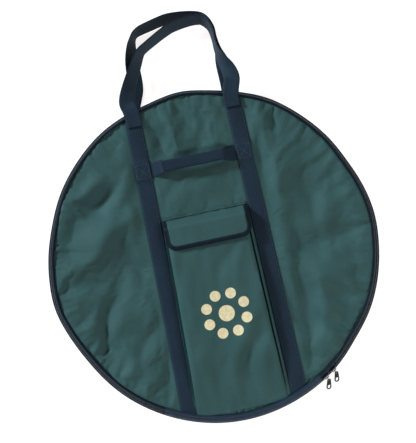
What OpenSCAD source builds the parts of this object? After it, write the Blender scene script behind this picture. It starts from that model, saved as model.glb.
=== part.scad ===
// Round zipped carry bag for a handpan, gong or other round percussion instrument.
//
// The bag lies on its back: +Z points up through the front panel, +Y runs towards the
// carry loops, and the origin is the centre of the back face. Lengths are millimetres.
//
// Every piece is its own solid. The front panel lifts as a lid about a straight fold near
// the bottom of the bag, so each layer that crosses the fold is cut there: the larger part
// moves with the lid, and the part named foot stays with the back half.

/* [Body] */
// Outer diameter, measured over the back piping
bag_d = 620; // [580:10:680]
// Height of the upper seam, where the front panel meets the side band
rim_z = 34; // [30:1:44]
// Rise of the front panel from its edge to its centre
crown = 14; // [8:1:20]
// Distance of the lid's fold line from the bottom edge of the bag
fold_depth = 65; // [60:1:72]

/* [Layers] */
// Thickness of the outer cloth
cloth_t = 1; // [0.6:0.1:1.2]
// Thickness of the foam padding
foam_t = 5; // [3:0.5:6]
// Thickness of the lining
lining_t = 0.8; // [0.5:0.1:1.2]
// Diameter of the piping sewn into both seams
piping_d = 4.4; // [3:0.2:5]

/* [Webbing] */
// Width of every strap and loop
web_w = 30; // [25:1:32]
// Thickness of the webbing
web_t = 1.6; // [1.2:0.1:2]
// Sideways place of each strap at the top of the bag
strap_x_top = 93.5; // [88:0.5:98]
// Sideways place of each strap at the bottom of the bag
strap_x_bottom = 104; // [98:0.5:110]
// Height of the grip's centre line above the bag's centre
grip_y = 177; // [165:1:185]
// Free length of the folded grip bar
grip_len = 114; // [100:1:118]

/* [Zip] */
// Half of the angle that the hinge gusset takes at the bottom of the bag
gusset_half = 29.5; // [28:0.5:30]
// Height of the chain's centre above the lower seam, along the band
chain_s = 12; // [11:0.5:13]
// Width of one half of the chain
coil_w = 3; // [2.5:0.1:3.2]
// Length of a slider
slider_len = 13; // [11:0.5:13]
// Length of a puller, from its eye to its tip
pull_len = 21; // [18:1:24]

/* [Pocket] */
// Width of the pocket
pocket_w = 154; // [140:1:156]
// Inner depth of the pocket
pocket_depth = 8; // [6:0.5:9]
// Height of the pocket's mouth above the bag's centre
mouth_y = 60; // [50:1:62]
// Height of the flap's seam above the bag's centre
flap_y = 84; // [80:1:88]
// Lowest edge of the flap, above the bag's centre
flap_low_y = 22; // [16:1:28]

/* [Hidden] */

$fn = 96;
touch = 0.05;        // gap left between layers that are sewn together
green = "#3f5f5d";
navy = "#1d2b3d";
black = "#17191c";
gold = "#d9bf83";
grey = "#3a3f44";

bag_r = bag_d / 2;
piping_r = piping_d / 2;
fold_y = -(bag_r - fold_depth);
fold_gap = 0.6;      // space between the two parts of each layer, at the fold

// ---------- side band: a cone between the two seams ----------
band_low = [bag_r - 2, 5];
band_top = [bag_r - 12, rim_z];
band_tilt = atan2(band_low.x - band_top.x, band_top.y - band_low.y);
band_len = norm(band_top - band_low);
tape_t = 0.8;
coil_t = 2.6;
chain_gap = 1;       // free width between the two halves of the chain
tape_low_s = 2.6;    // where the tapes begin, beside each piping
tape_top_s = band_len - 2.6;
stub_angle = 6.9;    // how far the closed ends of the chain reach past the gusset
end_gap = 0.3;       // angle between a closed end and the lid's part of the zip

zip_start = -90 + gusset_half;
zip_end = 270 - gusset_half;
lid_start = zip_start + stub_angle + end_gap;
lid_end = zip_end - stub_angle - end_gap;

// A point of the band: s runs up the slope and n outwards from it.
function band(s, n) = [
  band_low.x - s * sin(band_tilt) + n * cos(band_tilt),
  band_low.y + s * cos(band_tilt) + n * sin(band_tilt)
];

// A strip of the band, between two angles, two heights and two depths.
module band_strip(a0, a1, s0, s1, n0, n1)
  rotate([0, 0, a0])
    rotate_extrude(angle = a1 - a0)
      polygon([band(s0, n0), band(s0, n1), band(s1, n1), band(s1, n0)]);

module seam_piping(a0, a1, centre)
  rotate([0, 0, a0])
    rotate_extrude(angle = a1 - a0)
      translate(centre) circle(r = piping_r, $fn = 32);

front_seam = [band_top.x + 0.5, rim_z + 1];
back_seam = [bag_r - piping_r, band_low.y - 0.5];
panel_r = front_seam.x - piping_r - touch;
fold_angle = asin(-fold_y / panel_r);   // where the fold meets the edge of the panel

// ---------- front panel: a shallow dome ----------
lining_r = panel_r - 4;
dome_steps = 10;
function dome_z(r) = rim_z + 1 + crown * (1 - pow(r / front_seam.x, 2));

// A layer that follows the dome, between two heights above its surface.
module dome_layer(lo, hi, r1 = panel_r)
  rotate_extrude()
    polygon(concat(
      [for (i = [0:dome_steps]) let (r = r1 * i / dome_steps) [r, dome_z(r) + lo]],
      [for (i = [dome_steps:-1:0]) let (r = r1 * i / dome_steps) [r, dome_z(r) + hi]]
    ));

module above_fold()
  translate([-bag_d, fold_y + fold_gap / 2, -20]) cube([2 * bag_d, 2 * bag_d, 200]);
module below_fold()
  translate([-bag_d, fold_y - fold_gap / 2 - bag_d, -20]) cube([2 * bag_d, bag_d, 200]);

module lid_part() intersection() { children(); above_fold(); }
module foot_part() intersection() { children(); below_fold(); }

module panel_cloth() dome_layer(-cloth_t, 0);
module panel_foam()
  dome_layer(-cloth_t - touch - foam_t, -cloth_t - touch, lining_r);
module panel_lining()
  dome_layer(-cloth_t - foam_t - lining_t - 2 * touch, -cloth_t - foam_t - 2 * touch, lining_r);

// ---------- straps ----------
function strap_x(y) = strap_x_bottom
  + (strap_x_top - strap_x_bottom) * (y + bag_r) / (2 * bag_r);

// The plan of a strap, from y0 to y1, splayed a little towards the bottom.
module strap_plan(side, y0, y1, width = web_w)
  translate([0, 0, -20])
    linear_extrude(200)
      polygon([for (p = [[y0, -1], [y0, 1], [y1, 1], [y1, -1]])
        [side * strap_x(p[0]) + p[1] * width / 2, p[0]]]);

grip_w = web_w;
grip_low = grip_y - grip_w / 2 - 1;
grip_high = grip_y + grip_w / 2 + 1;
step_len = 1.6;      // length of the strap's step up on to the grip's tab

// A front strap steps over the grip's tab, which is sewn underneath it.
module front_strap(side) union() {
  intersection() {
    dome_layer(touch, touch + web_t);
    union() {
      strap_plan(side, -bag_r, grip_low);
      strap_plan(side, grip_high, bag_r);
    }
  }
  intersection() {
    dome_layer(touch + web_t + touch, 2 * (touch + web_t));
    strap_plan(side, grip_low - step_len, grip_high + step_len);
  }
  intersection() {
    dome_layer(touch, 2 * (touch + web_t));
    union() {
      strap_plan(side, grip_low - step_len, grip_low);
      strap_plan(side, grip_high, grip_high + step_len);
    }
  }
}

// Each carry loop ends in a tab sewn on top of a strap.
loop_end_low = 262;
loop_start = 282;
module loop_end(side)
  intersection() {
    dome_layer(touch + web_t + touch, 2 * (touch + web_t));
    strap_plan(side, loop_end_low, loop_start);
  }

// ---------- back half ----------
flat_r = bag_r - 10;         // the back is flat out to here, then turns up to its seam
turn_steps = 5;
turn_r = back_seam.x - piping_r - touch - flat_r;
function turn(a, r) = [flat_r + r * sin(a), turn_r - r * cos(a)];
channel_w = web_w + 1;       // channel that the back straps lie in
channel_z = web_t + touch;
back_foam_top = cloth_t + touch + foam_t;

module back_channels(width, z0, z1)
  for (side = [-1, 1])
    translate([0, 0, z0])
      linear_extrude(z1 - z0)
        polygon([for (p = [[-flat_r + 8, -1], [-flat_r + 8, 1], [flat_r, 1], [flat_r, -1]])
          [side * strap_x(p[0]) + p[1] * width / 2, p[0]]]);

module back_panel() color(green) difference() {
  union() {
    rotate_extrude()
      polygon(concat(
        [[0, 0]],
        [for (i = [0:turn_steps]) turn(75 * i / turn_steps, turn_r)],
        [for (i = [turn_steps:-1:0]) turn(75 * i / turn_steps, turn_r - cloth_t)],
        [[0, cloth_t]]
      ));
    intersection() {
      back_channels(channel_w + 2 * cloth_t, 0, channel_z + cloth_t);
      cylinder(r = flat_r - 1, h = 10);
    }
  }
  back_channels(channel_w, -1, channel_z);
}

module back_foam() color(grey) difference() {
  translate([0, 0, cloth_t + touch]) cylinder(r = flat_r - 2, h = foam_t);
  back_channels(channel_w + 2 * cloth_t + 2 * touch, 0, channel_z + cloth_t + touch);
}

module back_lining() color(black)
  translate([0, 0, back_foam_top + touch]) cylinder(r = flat_r - 2, h = lining_t);

back_strap_top = 289;
module back_strap(side) color(navy)
  linear_extrude(web_t)
    polygon([for (p = [[-flat_r + 22, -1], [-flat_r + 22, 1], [back_strap_top, 1], [back_strap_top, -1]])
      [side * strap_x(p[0]) + p[1] * web_w / 2, p[0]]]);

module back_piping() color(navy)
  rotate_extrude() translate(back_seam) circle(r = piping_r, $fn = 32);

// ---------- zip ----------
coil_low_s = chain_s - chain_gap / 2 - coil_w;
coil_top_s = chain_s + chain_gap / 2 + coil_w;

module lower_tape(a0, a1)
  band_strip(a0, a1, tape_low_s, coil_low_s - 0.02, -tape_t / 2, tape_t / 2);
module lower_coil(a0, a1)
  band_strip(a0, a1, coil_low_s, coil_low_s + coil_w, -tape_t / 2, coil_t - tape_t / 2);
module upper_tape(a0, a1)
  band_strip(a0, a1, coil_top_s + 0.02, tape_top_s, -tape_t / 2, tape_t / 2);
module upper_coil(a0, a1)
  band_strip(a0, a1, coil_top_s - coil_w, coil_top_s, -tape_t / 2, coil_t - tape_t / 2);

module zip_tape_back() color(navy) lower_tape(zip_start, zip_end);
module zip_coil_back() color(black) lower_coil(zip_start, zip_end);
module zip_tape_front() color(navy) upper_tape(lid_start, lid_end);
module zip_coil_front() color(black) upper_coil(lid_start, lid_end);

// The last stretch of the upper half stays closed and never leaves the back half.
module zip_end_stubs() color(navy)
  for (a = [zip_start, zip_end - stub_angle]) {
    upper_tape(a, a + stub_angle);
    upper_coil(a, a + stub_angle);
  }

gusset_t = 1.2;
module hinge_gusset() color(navy)
  band_strip(-90 - gusset_half + 0.1, -90 + gusset_half - 0.1,
    tape_low_s, tape_top_s, 0, gusset_t);
module gusset_foam() color(grey)
  band_strip(-90 - gusset_half + 1, -90 + gusset_half - 1,
    tape_low_s + 3, tape_top_s - 3, -3, -0.1);

// ---------- pocket ----------
pocket_taper_y = -185;       // below here the pocket narrows towards the bottom seam
pocket_foot_y = -(bag_r - 20);
pocket_steps = 14;
function pocket_rise(y) = y > pocket_taper_y ? pocket_depth
  : touch + (pocket_depth - touch) * max(0, (y - pocket_foot_y) / (pocket_taper_y - pocket_foot_y));
function pocket_z(y) = dome_z(abs(y)) + pocket_rise(y);

// A sheet over the pocket between two heights above its underside, x0 to x1 wide.
module pocket_sheet(lo, hi, x0, x1, y0, y1)
  translate([x0, 0, 0])
    rotate([90, 0, 90])
      linear_extrude(x1 - x0)
        polygon(concat(
          [for (i = [0:pocket_steps]) let (y = y0 + (y1 - y0) * i / pocket_steps)
            [y, pocket_z(y) + lo]],
          [for (i = [pocket_steps:-1:0]) let (y = y0 + (y1 - y0) * i / pocket_steps)
            [y, pocket_z(y) + hi]]
        ));

module inside_rim() translate([0, 0, -20]) cylinder(r = panel_r - 0.5, h = 200);

module pocket_cloth()
  intersection() {
    pocket_sheet(0, cloth_t, -pocket_w / 2, pocket_w / 2, pocket_foot_y - 10, mouth_y);
    inside_rim();
  }

side_t = 1.6;
module pocket_side(side) color(green)
  lid_part() difference() {
    pocket_sheet(-pocket_depth - 3, -0.4,
      side > 0 ? pocket_w / 2 - side_t : -pocket_w / 2,
      side > 0 ? pocket_w / 2 : -pocket_w / 2 + side_t,
      pocket_foot_y + 30, mouth_y);
    dome_layer(-40, touch);
  }

hem_h = 9;
fastener_t = 1.2;            // thickness of each half of the hook and loop fastener
fastener_w = 90;
fastener_y = 28;
fastener_h = 20;
fastener_gap = 0.1;
module pocket_hem() color(green)
  pocket_sheet(cloth_t + touch, 2 * cloth_t, -pocket_w / 2, pocket_w / 2, mouth_y - hem_h, mouth_y);
module loop_tape() color(black)
  pocket_sheet(cloth_t + touch, cloth_t + touch + fastener_t,
    -fastener_w / 2, fastener_w / 2, fastener_y, fastener_y + fastener_h);

// ---------- flap ----------
flap_half = 80;
flap_corner = 20;
binding_w = 5;
flap_lift = cloth_t + 2 * fastener_t + 2 * touch + fastener_gap;
flap_bend_y = 66;            // the flap slopes down from here to its seam
flap_profile_steps = 6;

// Heights of the flap's underside along its length, from the seam to the free edge.
function flap_under(y) = y <= flap_bend_y ? pocket_z(y) + flap_lift
  : let (t = (y - flap_bend_y) / (flap_y - flap_bend_y))
    (pocket_z(flap_bend_y) + flap_lift) * (1 - t) + (dome_z(flap_y) + 0.6) * t;

module flap_sheet(lo, hi)
  translate([-bag_r, 0, 0])
    rotate([90, 0, 90])
      linear_extrude(bag_d)
        let (ys = concat(
          [for (i = [0:flap_profile_steps])
            flap_low_y - 10 + (flap_bend_y - flap_low_y + 10) * i / flap_profile_steps],
          [flap_y - 0.6]))
        polygon(concat(
          [for (y = ys) [y, flap_under(y) + lo]],
          [for (i = [len(ys) - 1:-1:0]) [ys[i], flap_under(ys[i]) + hi]]
        ));

// The flap's plan: straight at its seam, with two round corners at the free edge.
module flap_plan(inset = 0)
  linear_extrude(200)
    union() {
      translate([-flap_half + inset, flap_low_y + flap_corner])
        square([2 * (flap_half - inset), flap_y - flap_low_y - flap_corner]);
      translate([-flap_half + flap_corner, flap_low_y + inset])
        square([2 * (flap_half - flap_corner), flap_corner]);
      for (side = [-1, 1])
        translate([side * (flap_half - flap_corner), flap_low_y + flap_corner])
          circle(r = flap_corner - inset);
    }

module flap_panel() color(green)
  intersection() {
    flap_sheet(0, cloth_t);
    flap_plan(binding_w / 2);
  }
module flap_binding() color(navy)
  intersection() {
    flap_sheet(-0.3, cloth_t + 0.6);
    difference() {
      flap_plan();
      flap_plan(binding_w / 2 - 0.1);
    }
  }
module hook_tape() color(black)
  pocket_sheet(flap_lift - touch - fastener_t, flap_lift - touch,
    -fastener_w / 2, fastener_w / 2, fastener_y, fastener_y + fastener_h);
seam_h = 8;
module flap_seam() color(green)
  intersection() {
    dome_layer(touch, touch + cloth_t);
    translate([-flap_half + 3, flap_y + 1.1, 0]) cube([2 * (flap_half - 3), seam_h, 200]);
  }

// ---------- emblem: a ring of round fields about a centre one ----------
emblem_at = [2, -111];
emblem_ring_r = 38;
module foil_emblem() color(gold)
  intersection() {
    pocket_sheet(cloth_t + 0.02, cloth_t + 0.3, -pocket_w / 2, pocket_w / 2, -175, -50);
    translate([emblem_at.x, emblem_at.y, 0]) {
      cylinder(r = 15, h = 200);
      for (i = [0:7])
        rotate([0, 0, i * 45 + 22.5]) translate([emblem_ring_r, 0, 0]) cylinder(r = 10, h = 200);
    }
  }

// ---------- grip ----------
grip_lift = 8;               // height of the bar above the panel
bar_w = 19;
bar_t = 4;
ramp_end_x = grip_len / 2 + 1;
ramp_foot_x = 76;
grip_z = dome_z(grip_y);

module grip_tab(side) union() {
  intersection() {
    dome_layer(touch, touch + web_t - 0.02);
    translate([side > 0 ? ramp_foot_x : -strap_x(grip_y) - web_w / 2 + 2, grip_y - grip_w / 2, 0])
      cube([strap_x(grip_y) + web_w / 2 - 2 - ramp_foot_x, grip_w, 200]);
  }
  mirror([side < 0 ? 1 : 0, 0, 0])
    translate([0, grip_y + grip_w / 2, 0])
      rotate([90, 0, 0])
        linear_extrude(grip_w)
          polygon([
            [ramp_foot_x + 3, grip_z - 0.2], [ramp_foot_x, grip_z + 0.2],
            [ramp_end_x, grip_z + grip_lift], [ramp_end_x, grip_z + grip_lift + web_t],
            [ramp_foot_x, grip_z + web_t + 0.4], [ramp_foot_x + 3, grip_z + web_t - 0.4]
          ]);
}
module grip_tabs() color(navy) for (side = [-1, 1]) grip_tab(side);

module grip_bar() color(navy)
  translate([-grip_len / 2, grip_y, grip_z + grip_lift])
    rotate([90, 0, 90])
      linear_extrude(grip_len)
        union() {
          translate([-bar_w / 2 + bar_t / 2, 0]) square([bar_w - bar_t, bar_t]);
          for (side = [-1, 1])
            translate([side * (bar_w - bar_t) / 2, bar_t / 2]) circle(d = bar_t, $fn = 32);
        }

// ---------- carry loops: flat webbing swept along a line, turned by its roll ----------
// Each point is [x, y beyond the bag's edge, z, roll]; a roll lifts the outer edge.
front_loop_points = [
  [-93, -26.8, 38.6, 0], [-95, -12, 38, 0], [-98, 5, 33, 10], [-90, 32, 21.5, 33],
  [-72, 64, 17, 40], [-54, 94, 18.5, 46], [-34, 107, 20, 48], [-12, 121, 21, 48],
  [18, 133, 21.5, 48], [46, 135, 21.5, 48], [68, 127, 21.5, 52], [80, 105, 20, 72],
  [81, 83, 19, 79], [84, 62, 20, 72], [91, 42, 23, 48], [99, 25, 28, 20],
  [102, 8, 32.5, 4], [96, -12, 38, 0], [93, -26.8, 38.6, 0]
];
back_loop_points = [
  [-94, -19.8, 0.85, 0], [-94, -8, 0.85, 0], [-91, 8, 1.1, 0], [-83, 26, 3, 6], [-77, 50, 7.4, 22],
  [-72, 85, 11.6, 42], [-66, 115, 13.2, 52], [-52, 131, 13.2, 52], [-30, 137, 12.6, 48],
  [-10, 142, 12.6, 48], [14, 146, 12.6, 48], [38, 143, 12.6, 48], [66, 134, 13, 52],
  [83, 108, 15.4, 72], [86, 84, 15.6, 79], [88.5, 64, 14.6, 68], [91, 44, 9.6, 32],
  [93.5, 24, 4, 8], [94, 6, 1.1, 0], [94, -8, 0.85, 0], [94, -19.8, 0.85, 0]
];
spans = 3;                   // stations between two points of a loop

function curve(a, b, c, d, t) = 0.5 * (2 * b + (c - a) * t
  + (2 * a - 5 * b + 4 * c - d) * t * t + (3 * b - a - 3 * c + d) * t * t * t);
function stations(p) = let (n = len(p)) [
  for (i = [0:n - 2], k = [0:spans - 1])
    curve(p[max(i - 1, 0)], p[i], p[i + 1], p[min(i + 2, n - 1)], k / spans),
  p[n - 1]
];
function unit(v) = v / norm(v);
function place(p) = [p[0], p[1] + bag_r, p[2]];

// The four corners of the webbing at station i.
function web_ring(st, i) = let (
    n = len(st),
    along = unit(place(st[min(i + 1, n - 1)]) - place(st[max(i - 1, 0)])),
    side = unit([-along.y, along.x, 0]),
    up = cross(along, side),
    across = cos(st[i][3]) * side + sin(st[i][3]) * up,
    thick = cross(along, across)
  ) [for (c = [[-1, -1], [1, -1], [1, 1], [-1, 1]])
    place(st[i]) + c[0] * across * web_w / 2 + c[1] * thick * web_t / 2];

module web_sweep(points) {
  st = stations(points);
  n = len(st);
  rings = [for (i = [0:n - 1]) web_ring(st, i)];
  polyhedron(
    points = [for (ring = rings) for (p = ring) p],
    faces = concat(
      [[0, 1, 2], [0, 2, 3]],
      [for (i = [0:n - 2], k = [0:3]) let (a = 4 * i + k, b = 4 * i + (k + 1) % 4)
        each [[a, a + 4, b + 4], [a, b + 4, b]]],
      [let (e = 4 * (n - 1)) each [[e, e + 2, e + 1], [e, e + 3, e + 2]]]
    )
  );
}
module front_loop() color(navy) web_sweep(front_loop_points);
module back_loop() color(navy) web_sweep(back_loop_points);

// ---------- sliders ----------
// Angles where the two sliders rest, side by side at the right end of the zip.
slider_a_at = zip_start + 1.6;
slider_b_at = zip_start + 5.2;
slider_w = 10.5;
plate_t = 1.3;
channel_in = -1;             // inner and outer faces of the slider's channel
channel_out = coil_t - tape_t / 2 + 0.4;
flange_t = 1.2;
slot_half = 0.65;
post_t = 0.6;

// Puts a piece on the zip: x runs along the chain, y up the band and z straight out.
module on_zip(angle)
  rotate([0, 0, angle])
    translate([band(chain_s, 0).x, 0, band(chain_s, 0).y])
      rotate([0, -band_tilt, 0])
        rotate([90, 0, 90])
          children();

module plate(length, width, z0, z1)
  translate([0, 0, z0])
    linear_extrude(z1 - z0)
      union() {
        square([length - 4, width], center = true);
        square([length, width - 4], center = true);
        for (i = [-1, 1], j = [-1, 1])
          translate([i * (length / 2 - 2), j * (width / 2 - 2)]) circle(r = 2, $fn = 32);
      }

module slider_body(angle) color(black) on_zip(angle) union() {
  plate(slider_len, slider_w, channel_out, channel_out + plate_t);
  plate(slider_len - 1, slider_w - 1, channel_in - plate_t, channel_in);
  for (j = [-1, 1]) {
    translate([-slider_len / 2 + 2, j * (slider_w - flange_t) / 2 - flange_t / 2, slot_half])
      cube([slider_len - 4, flange_t, channel_out - slot_half + 0.2]);
    translate([-slider_len / 2 + 2, j * (slider_w - 1 - flange_t) / 2 - flange_t / 2, channel_in - 0.2])
      cube([slider_len - 4, flange_t, -slot_half - channel_in + 0.2]);
  }
  translate([slider_len / 2 - 4, -post_t / 2, channel_in - 0.2])
    cube([3, post_t, channel_out - channel_in + 0.4]);
}

// The bail is the small bridge that holds the link. Its bar runs along the chain.
bail_len = 9;
bail_w = 2.4;
bail_t = 1.2;
bail_axis = channel_out + plate_t + 3;
module slider_bail(angle) color(black) on_zip(angle)
  translate([0, bail_w / 2, 0])
    rotate([90, 0, 0])
      linear_extrude(bail_w)
        let (foot = channel_out + plate_t, top = bail_axis + bail_t / 2)
        difference() {
          union() {
            translate([-bail_len / 2 + 1, foot]) square([bail_len - 2, top - foot]);
            translate([-bail_len / 2, foot]) square([bail_len, top - foot - 1]);
            for (i = [-1, 1])
              translate([i * (bail_len / 2 - 1), top - 1]) circle(r = 1, $fn = 32);
          }
          translate([-bail_len / 2 + bail_t, foot - 1]) square([bail_len - 2 * bail_t, top - bail_t - foot + 1]);
        }

// A wire link hangs on the bail, and the puller hangs on the link.
wire_r = 0.6;
link_in_r = 1.5;
link_mid_r = link_in_r + wire_r;
link_len = 4;                // between the centres of the link's two round ends
droop = 56;                  // angle of the hanging link below the band's normal
pull_swing = 36;            // angle of the puller about the link's far end

module on_bail(angle)
  on_zip(angle) translate([0, 0, bail_axis]) rotate([droop, 0, 0]) rotate([0, -90, 0]) children();

// In the link's own frame x points along it, away from the slider, and z along the chain.
module slider_link(angle) color(grey) on_bail(angle) union() {
  rotate([0, 0, 90]) rotate_extrude(angle = 180)
    translate([link_mid_r, 0]) circle(r = wire_r, $fn = 32);
  translate([link_len, 0, 0]) rotate([0, 0, -90]) rotate_extrude(angle = 180)
    translate([link_mid_r, 0]) circle(r = wire_r, $fn = 32);
  for (j = [-1, 1])
    translate([0, j * link_mid_r, 0]) rotate([0, 90, 0]) cylinder(r = wire_r, h = link_len, $fn = 32);
}

pull_t = 1.4;
eye_r = 1;
neck_r = 2.3;
pull_tip_r = 4.6;
grab_w = 4.4;
module slider_pull(angle) color(black) on_bail(angle)
  translate([link_len + link_mid_r, 0, 0])
    rotate([90, 0, 0])
      rotate([0, 0, pull_swing])
        translate([0, 0, -pull_t / 2])
          linear_extrude(pull_t)
            difference() {
              union() {
                circle(r = neck_r, $fn = 48);
                translate([pull_len - pull_tip_r, 0]) circle(r = pull_tip_r, $fn = 64);
                polygon([
                  [0, neck_r], [0, -neck_r],
                  [pull_len - pull_tip_r, -pull_tip_r], [pull_len - pull_tip_r, pull_tip_r]
                ]);
              }
              circle(r = eye_r, $fn = 32);
              translate([pull_len - pull_tip_r, 0]) circle(d = grab_w, $fn = 48);
              translate([pull_len - pull_tip_r - 3, -grab_w / 2]) square([3, grab_w]);
              translate([pull_len - pull_tip_r - 3, 0]) circle(d = grab_w, $fn = 48);
            }

// ---------- nodes ----------
module foot_panel() color(green) foot_part() panel_cloth();
module foot_foam() color(grey) foot_part() panel_foam();
module foot_lining() color(black) foot_part() panel_lining();
module foot_piping() color(navy) seam_piping(180 + fold_angle + 0.1, 360 - fold_angle - 0.1, front_seam);
module foot_straps() color(navy) {
  foot_part() front_strap(-1);
  mirror([1, 0, 0]) foot_part() front_strap(-1);
}
module foot_pocket() color(green) foot_part() pocket_cloth();
module front_panel() color(green) lid_part() panel_cloth();
module front_foam() color(grey) lid_part() panel_foam();
module front_lining() color(black) lid_part() panel_lining();
module front_strap_left() color(navy) lid_part() front_strap(-1);
module front_piping() color(navy) seam_piping(0.1 - fold_angle, 179.9 + fold_angle, front_seam);
module loop_ends() color(navy) for (side = [-1, 1]) loop_end(side);
module pocket_panel() color(green) lid_part() pocket_cloth();

back_panel();
back_foam();
back_lining();
back_strap(-1);  // back_strap_left
back_strap(1);  // back_strap_right
back_piping();
zip_tape_back();
zip_coil_back();
zip_end_stubs();
hinge_gusset();
gusset_foam();
foot_panel();
foot_foam();
foot_lining();
foot_piping();
foot_straps();
foot_pocket();
front_panel();
front_foam();
front_lining();
front_strap_left();
mirror([1, 0, 0]) front_strap_left();  // front_strap_right
front_piping();
zip_tape_front();
zip_coil_front();
loop_ends();
grip_tabs();
pocket_panel();
pocket_side(-1);  // pocket_side_left
pocket_side(1);  // pocket_side_right
pocket_hem();
loop_tape();
flap_seam();
foil_emblem();
flap_panel();
flap_binding();
hook_tape();
grip_bar();
front_loop();
back_loop();
slider_body(slider_a_at);  // slider_a_body
slider_bail(slider_a_at);  // slider_a_bail
slider_link(slider_a_at);  // slider_a_link
slider_pull(slider_a_at);  // slider_a_pull
slider_body(slider_b_at);  // slider_b_body
slider_bail(slider_b_at);  // slider_b_bail
slider_link(slider_b_at);  // slider_b_link
slider_pull(slider_b_at);  // slider_b_pull
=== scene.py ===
# %% [markdown]
# A round carry bag for a drum or gong, sewn from padded cloth and webbing, closed by a zip round its rim.
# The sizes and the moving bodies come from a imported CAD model, the frame. Blender's work is the cloth:
# its folds and puckers, the webbing, the stitches, the zip's teeth, and the finish of each material.

# %% Load the frame
import math

import bmesh
import bpy
from mathutils import Matrix, Vector, noise


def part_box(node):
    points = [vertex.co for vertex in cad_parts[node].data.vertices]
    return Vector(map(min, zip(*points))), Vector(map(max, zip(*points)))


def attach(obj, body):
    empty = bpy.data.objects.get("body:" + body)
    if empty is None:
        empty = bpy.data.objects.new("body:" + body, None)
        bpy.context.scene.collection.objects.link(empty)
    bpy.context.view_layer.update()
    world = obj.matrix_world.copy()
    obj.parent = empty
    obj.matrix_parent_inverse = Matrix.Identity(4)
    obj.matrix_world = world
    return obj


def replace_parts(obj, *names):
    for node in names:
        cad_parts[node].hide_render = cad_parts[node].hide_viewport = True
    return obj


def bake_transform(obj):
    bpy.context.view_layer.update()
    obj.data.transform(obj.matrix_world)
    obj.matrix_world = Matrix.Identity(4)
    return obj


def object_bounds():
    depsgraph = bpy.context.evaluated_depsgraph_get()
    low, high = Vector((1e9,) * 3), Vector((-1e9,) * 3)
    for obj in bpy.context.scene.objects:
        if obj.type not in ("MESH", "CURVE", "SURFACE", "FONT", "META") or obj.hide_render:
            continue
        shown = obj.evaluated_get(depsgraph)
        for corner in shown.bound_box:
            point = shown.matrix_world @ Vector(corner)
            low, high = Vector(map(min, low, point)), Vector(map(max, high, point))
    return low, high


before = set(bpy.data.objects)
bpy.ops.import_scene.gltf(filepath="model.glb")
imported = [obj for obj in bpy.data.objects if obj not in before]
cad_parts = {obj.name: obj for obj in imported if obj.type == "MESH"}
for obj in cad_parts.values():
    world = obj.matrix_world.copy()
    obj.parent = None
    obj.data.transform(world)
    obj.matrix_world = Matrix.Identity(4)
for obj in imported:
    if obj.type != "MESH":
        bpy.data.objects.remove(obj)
CAD_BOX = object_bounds()


def mm(value):
    return value * 0.001


# %% [markdown]
# Everything sewn to the bag is placed from two seams: the upper one, where the front panel meets the
# band, and the lower one, where the back meets it. Both are piped, so the piping's boxes in the frame
# give their radius and height. Between them the band is a straight slope, and a point on it has a
# distance s up the slope and a distance n out from it.

# %% Measure the frame


def corner(node, end, axis):
    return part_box(node)[end]["xyz".index(axis)]


PIPING_R = (corner("back_piping", 1, "z") - corner("back_piping", 0, "z")) / 2
BAG_R = corner("back_piping", 1, "x")
LOW_R = BAG_R - PIPING_R
LOW_Z = (corner("back_piping", 1, "z") + corner("back_piping", 0, "z")) / 2
SEAM_R = corner("front_piping", 1, "x") - PIPING_R
SEAM_Z = (corner("front_piping", 1, "z") + corner("front_piping", 0, "z")) / 2
PANEL_R = corner("front_panel", 1, "x")
DOME_TOP = corner("front_panel", 1, "z")
BAND_LOW = Vector((LOW_R + mm(0.2), LOW_Z + mm(0.5)))
BAND_TOP = Vector((SEAM_R - mm(0.5), SEAM_Z - mm(1)))
BAND_UP = (BAND_TOP - BAND_LOW).normalized()
BAND_OUT = Vector((BAND_UP.y, -BAND_UP.x))
BAND_LEN = (BAND_TOP - BAND_LOW).length
print(f"bag {2 * BAG_R:.3f} m across, upper seam {2 * SEAM_R:.3f} m across and {SEAM_Z:.3f} m up")


def band(s, n):
    return BAND_LOW + BAND_UP * s + BAND_OUT * n


# %% [markdown]
# The camera looks straight down from well above, so that a flat bag keeps its round outline. The bag
# lies a few degrees askew on a pale floor. A cool window stands low on one side, which is what brings
# out the soft folds of dark cloth. A softer light opposite and a weak warm room fill the shadows, and
# the floor glows a little, so that it stays pale.

# %% Camera, lights and floor
VIEW_ROLL = math.radians(-12)
VIEW_CENTRE = (mm(3.3), mm(65.7))
VIEW_WIDTH = mm(778.8)
VIEW_HEIGHT = 5.0
SENSOR = 36


def aim(obj, target):
    direction = Vector(target) - obj.location
    obj.rotation_euler = direction.to_track_quat("-Z", "Y").to_euler()


camera_data = bpy.data.cameras.new("camera")
camera = bpy.data.objects.new("camera", camera_data)
bpy.context.scene.collection.objects.link(camera)
camera.location = (*VIEW_CENTRE, VIEW_HEIGHT)
camera.rotation_euler = (0, 0, VIEW_ROLL)
camera_data.sensor_fit = "HORIZONTAL"
camera_data.sensor_width = SENSOR
camera_data.lens = SENSOR * VIEW_HEIGHT / VIEW_WIDTH
bpy.context.scene.camera = camera

ACROSS = Vector((math.cos(VIEW_ROLL), math.sin(VIEW_ROLL), 0))
UPWARD = Vector((-math.sin(VIEW_ROLL), math.cos(VIEW_ROLL), 0))


def area_light(name, right, up, height, size, power, colour):
    data = bpy.data.lights.new(name, "AREA")
    data.shape = "DISK"
    data.size = size
    data.energy = power
    data.color = colour
    lamp = bpy.data.objects.new(name, data)
    bpy.context.scene.collection.objects.link(lamp)
    lamp.location = ACROSS * right + UPWARD * up + Vector((0, 0, height))
    aim(lamp, (0, 0.05, 0))
    return lamp


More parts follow.
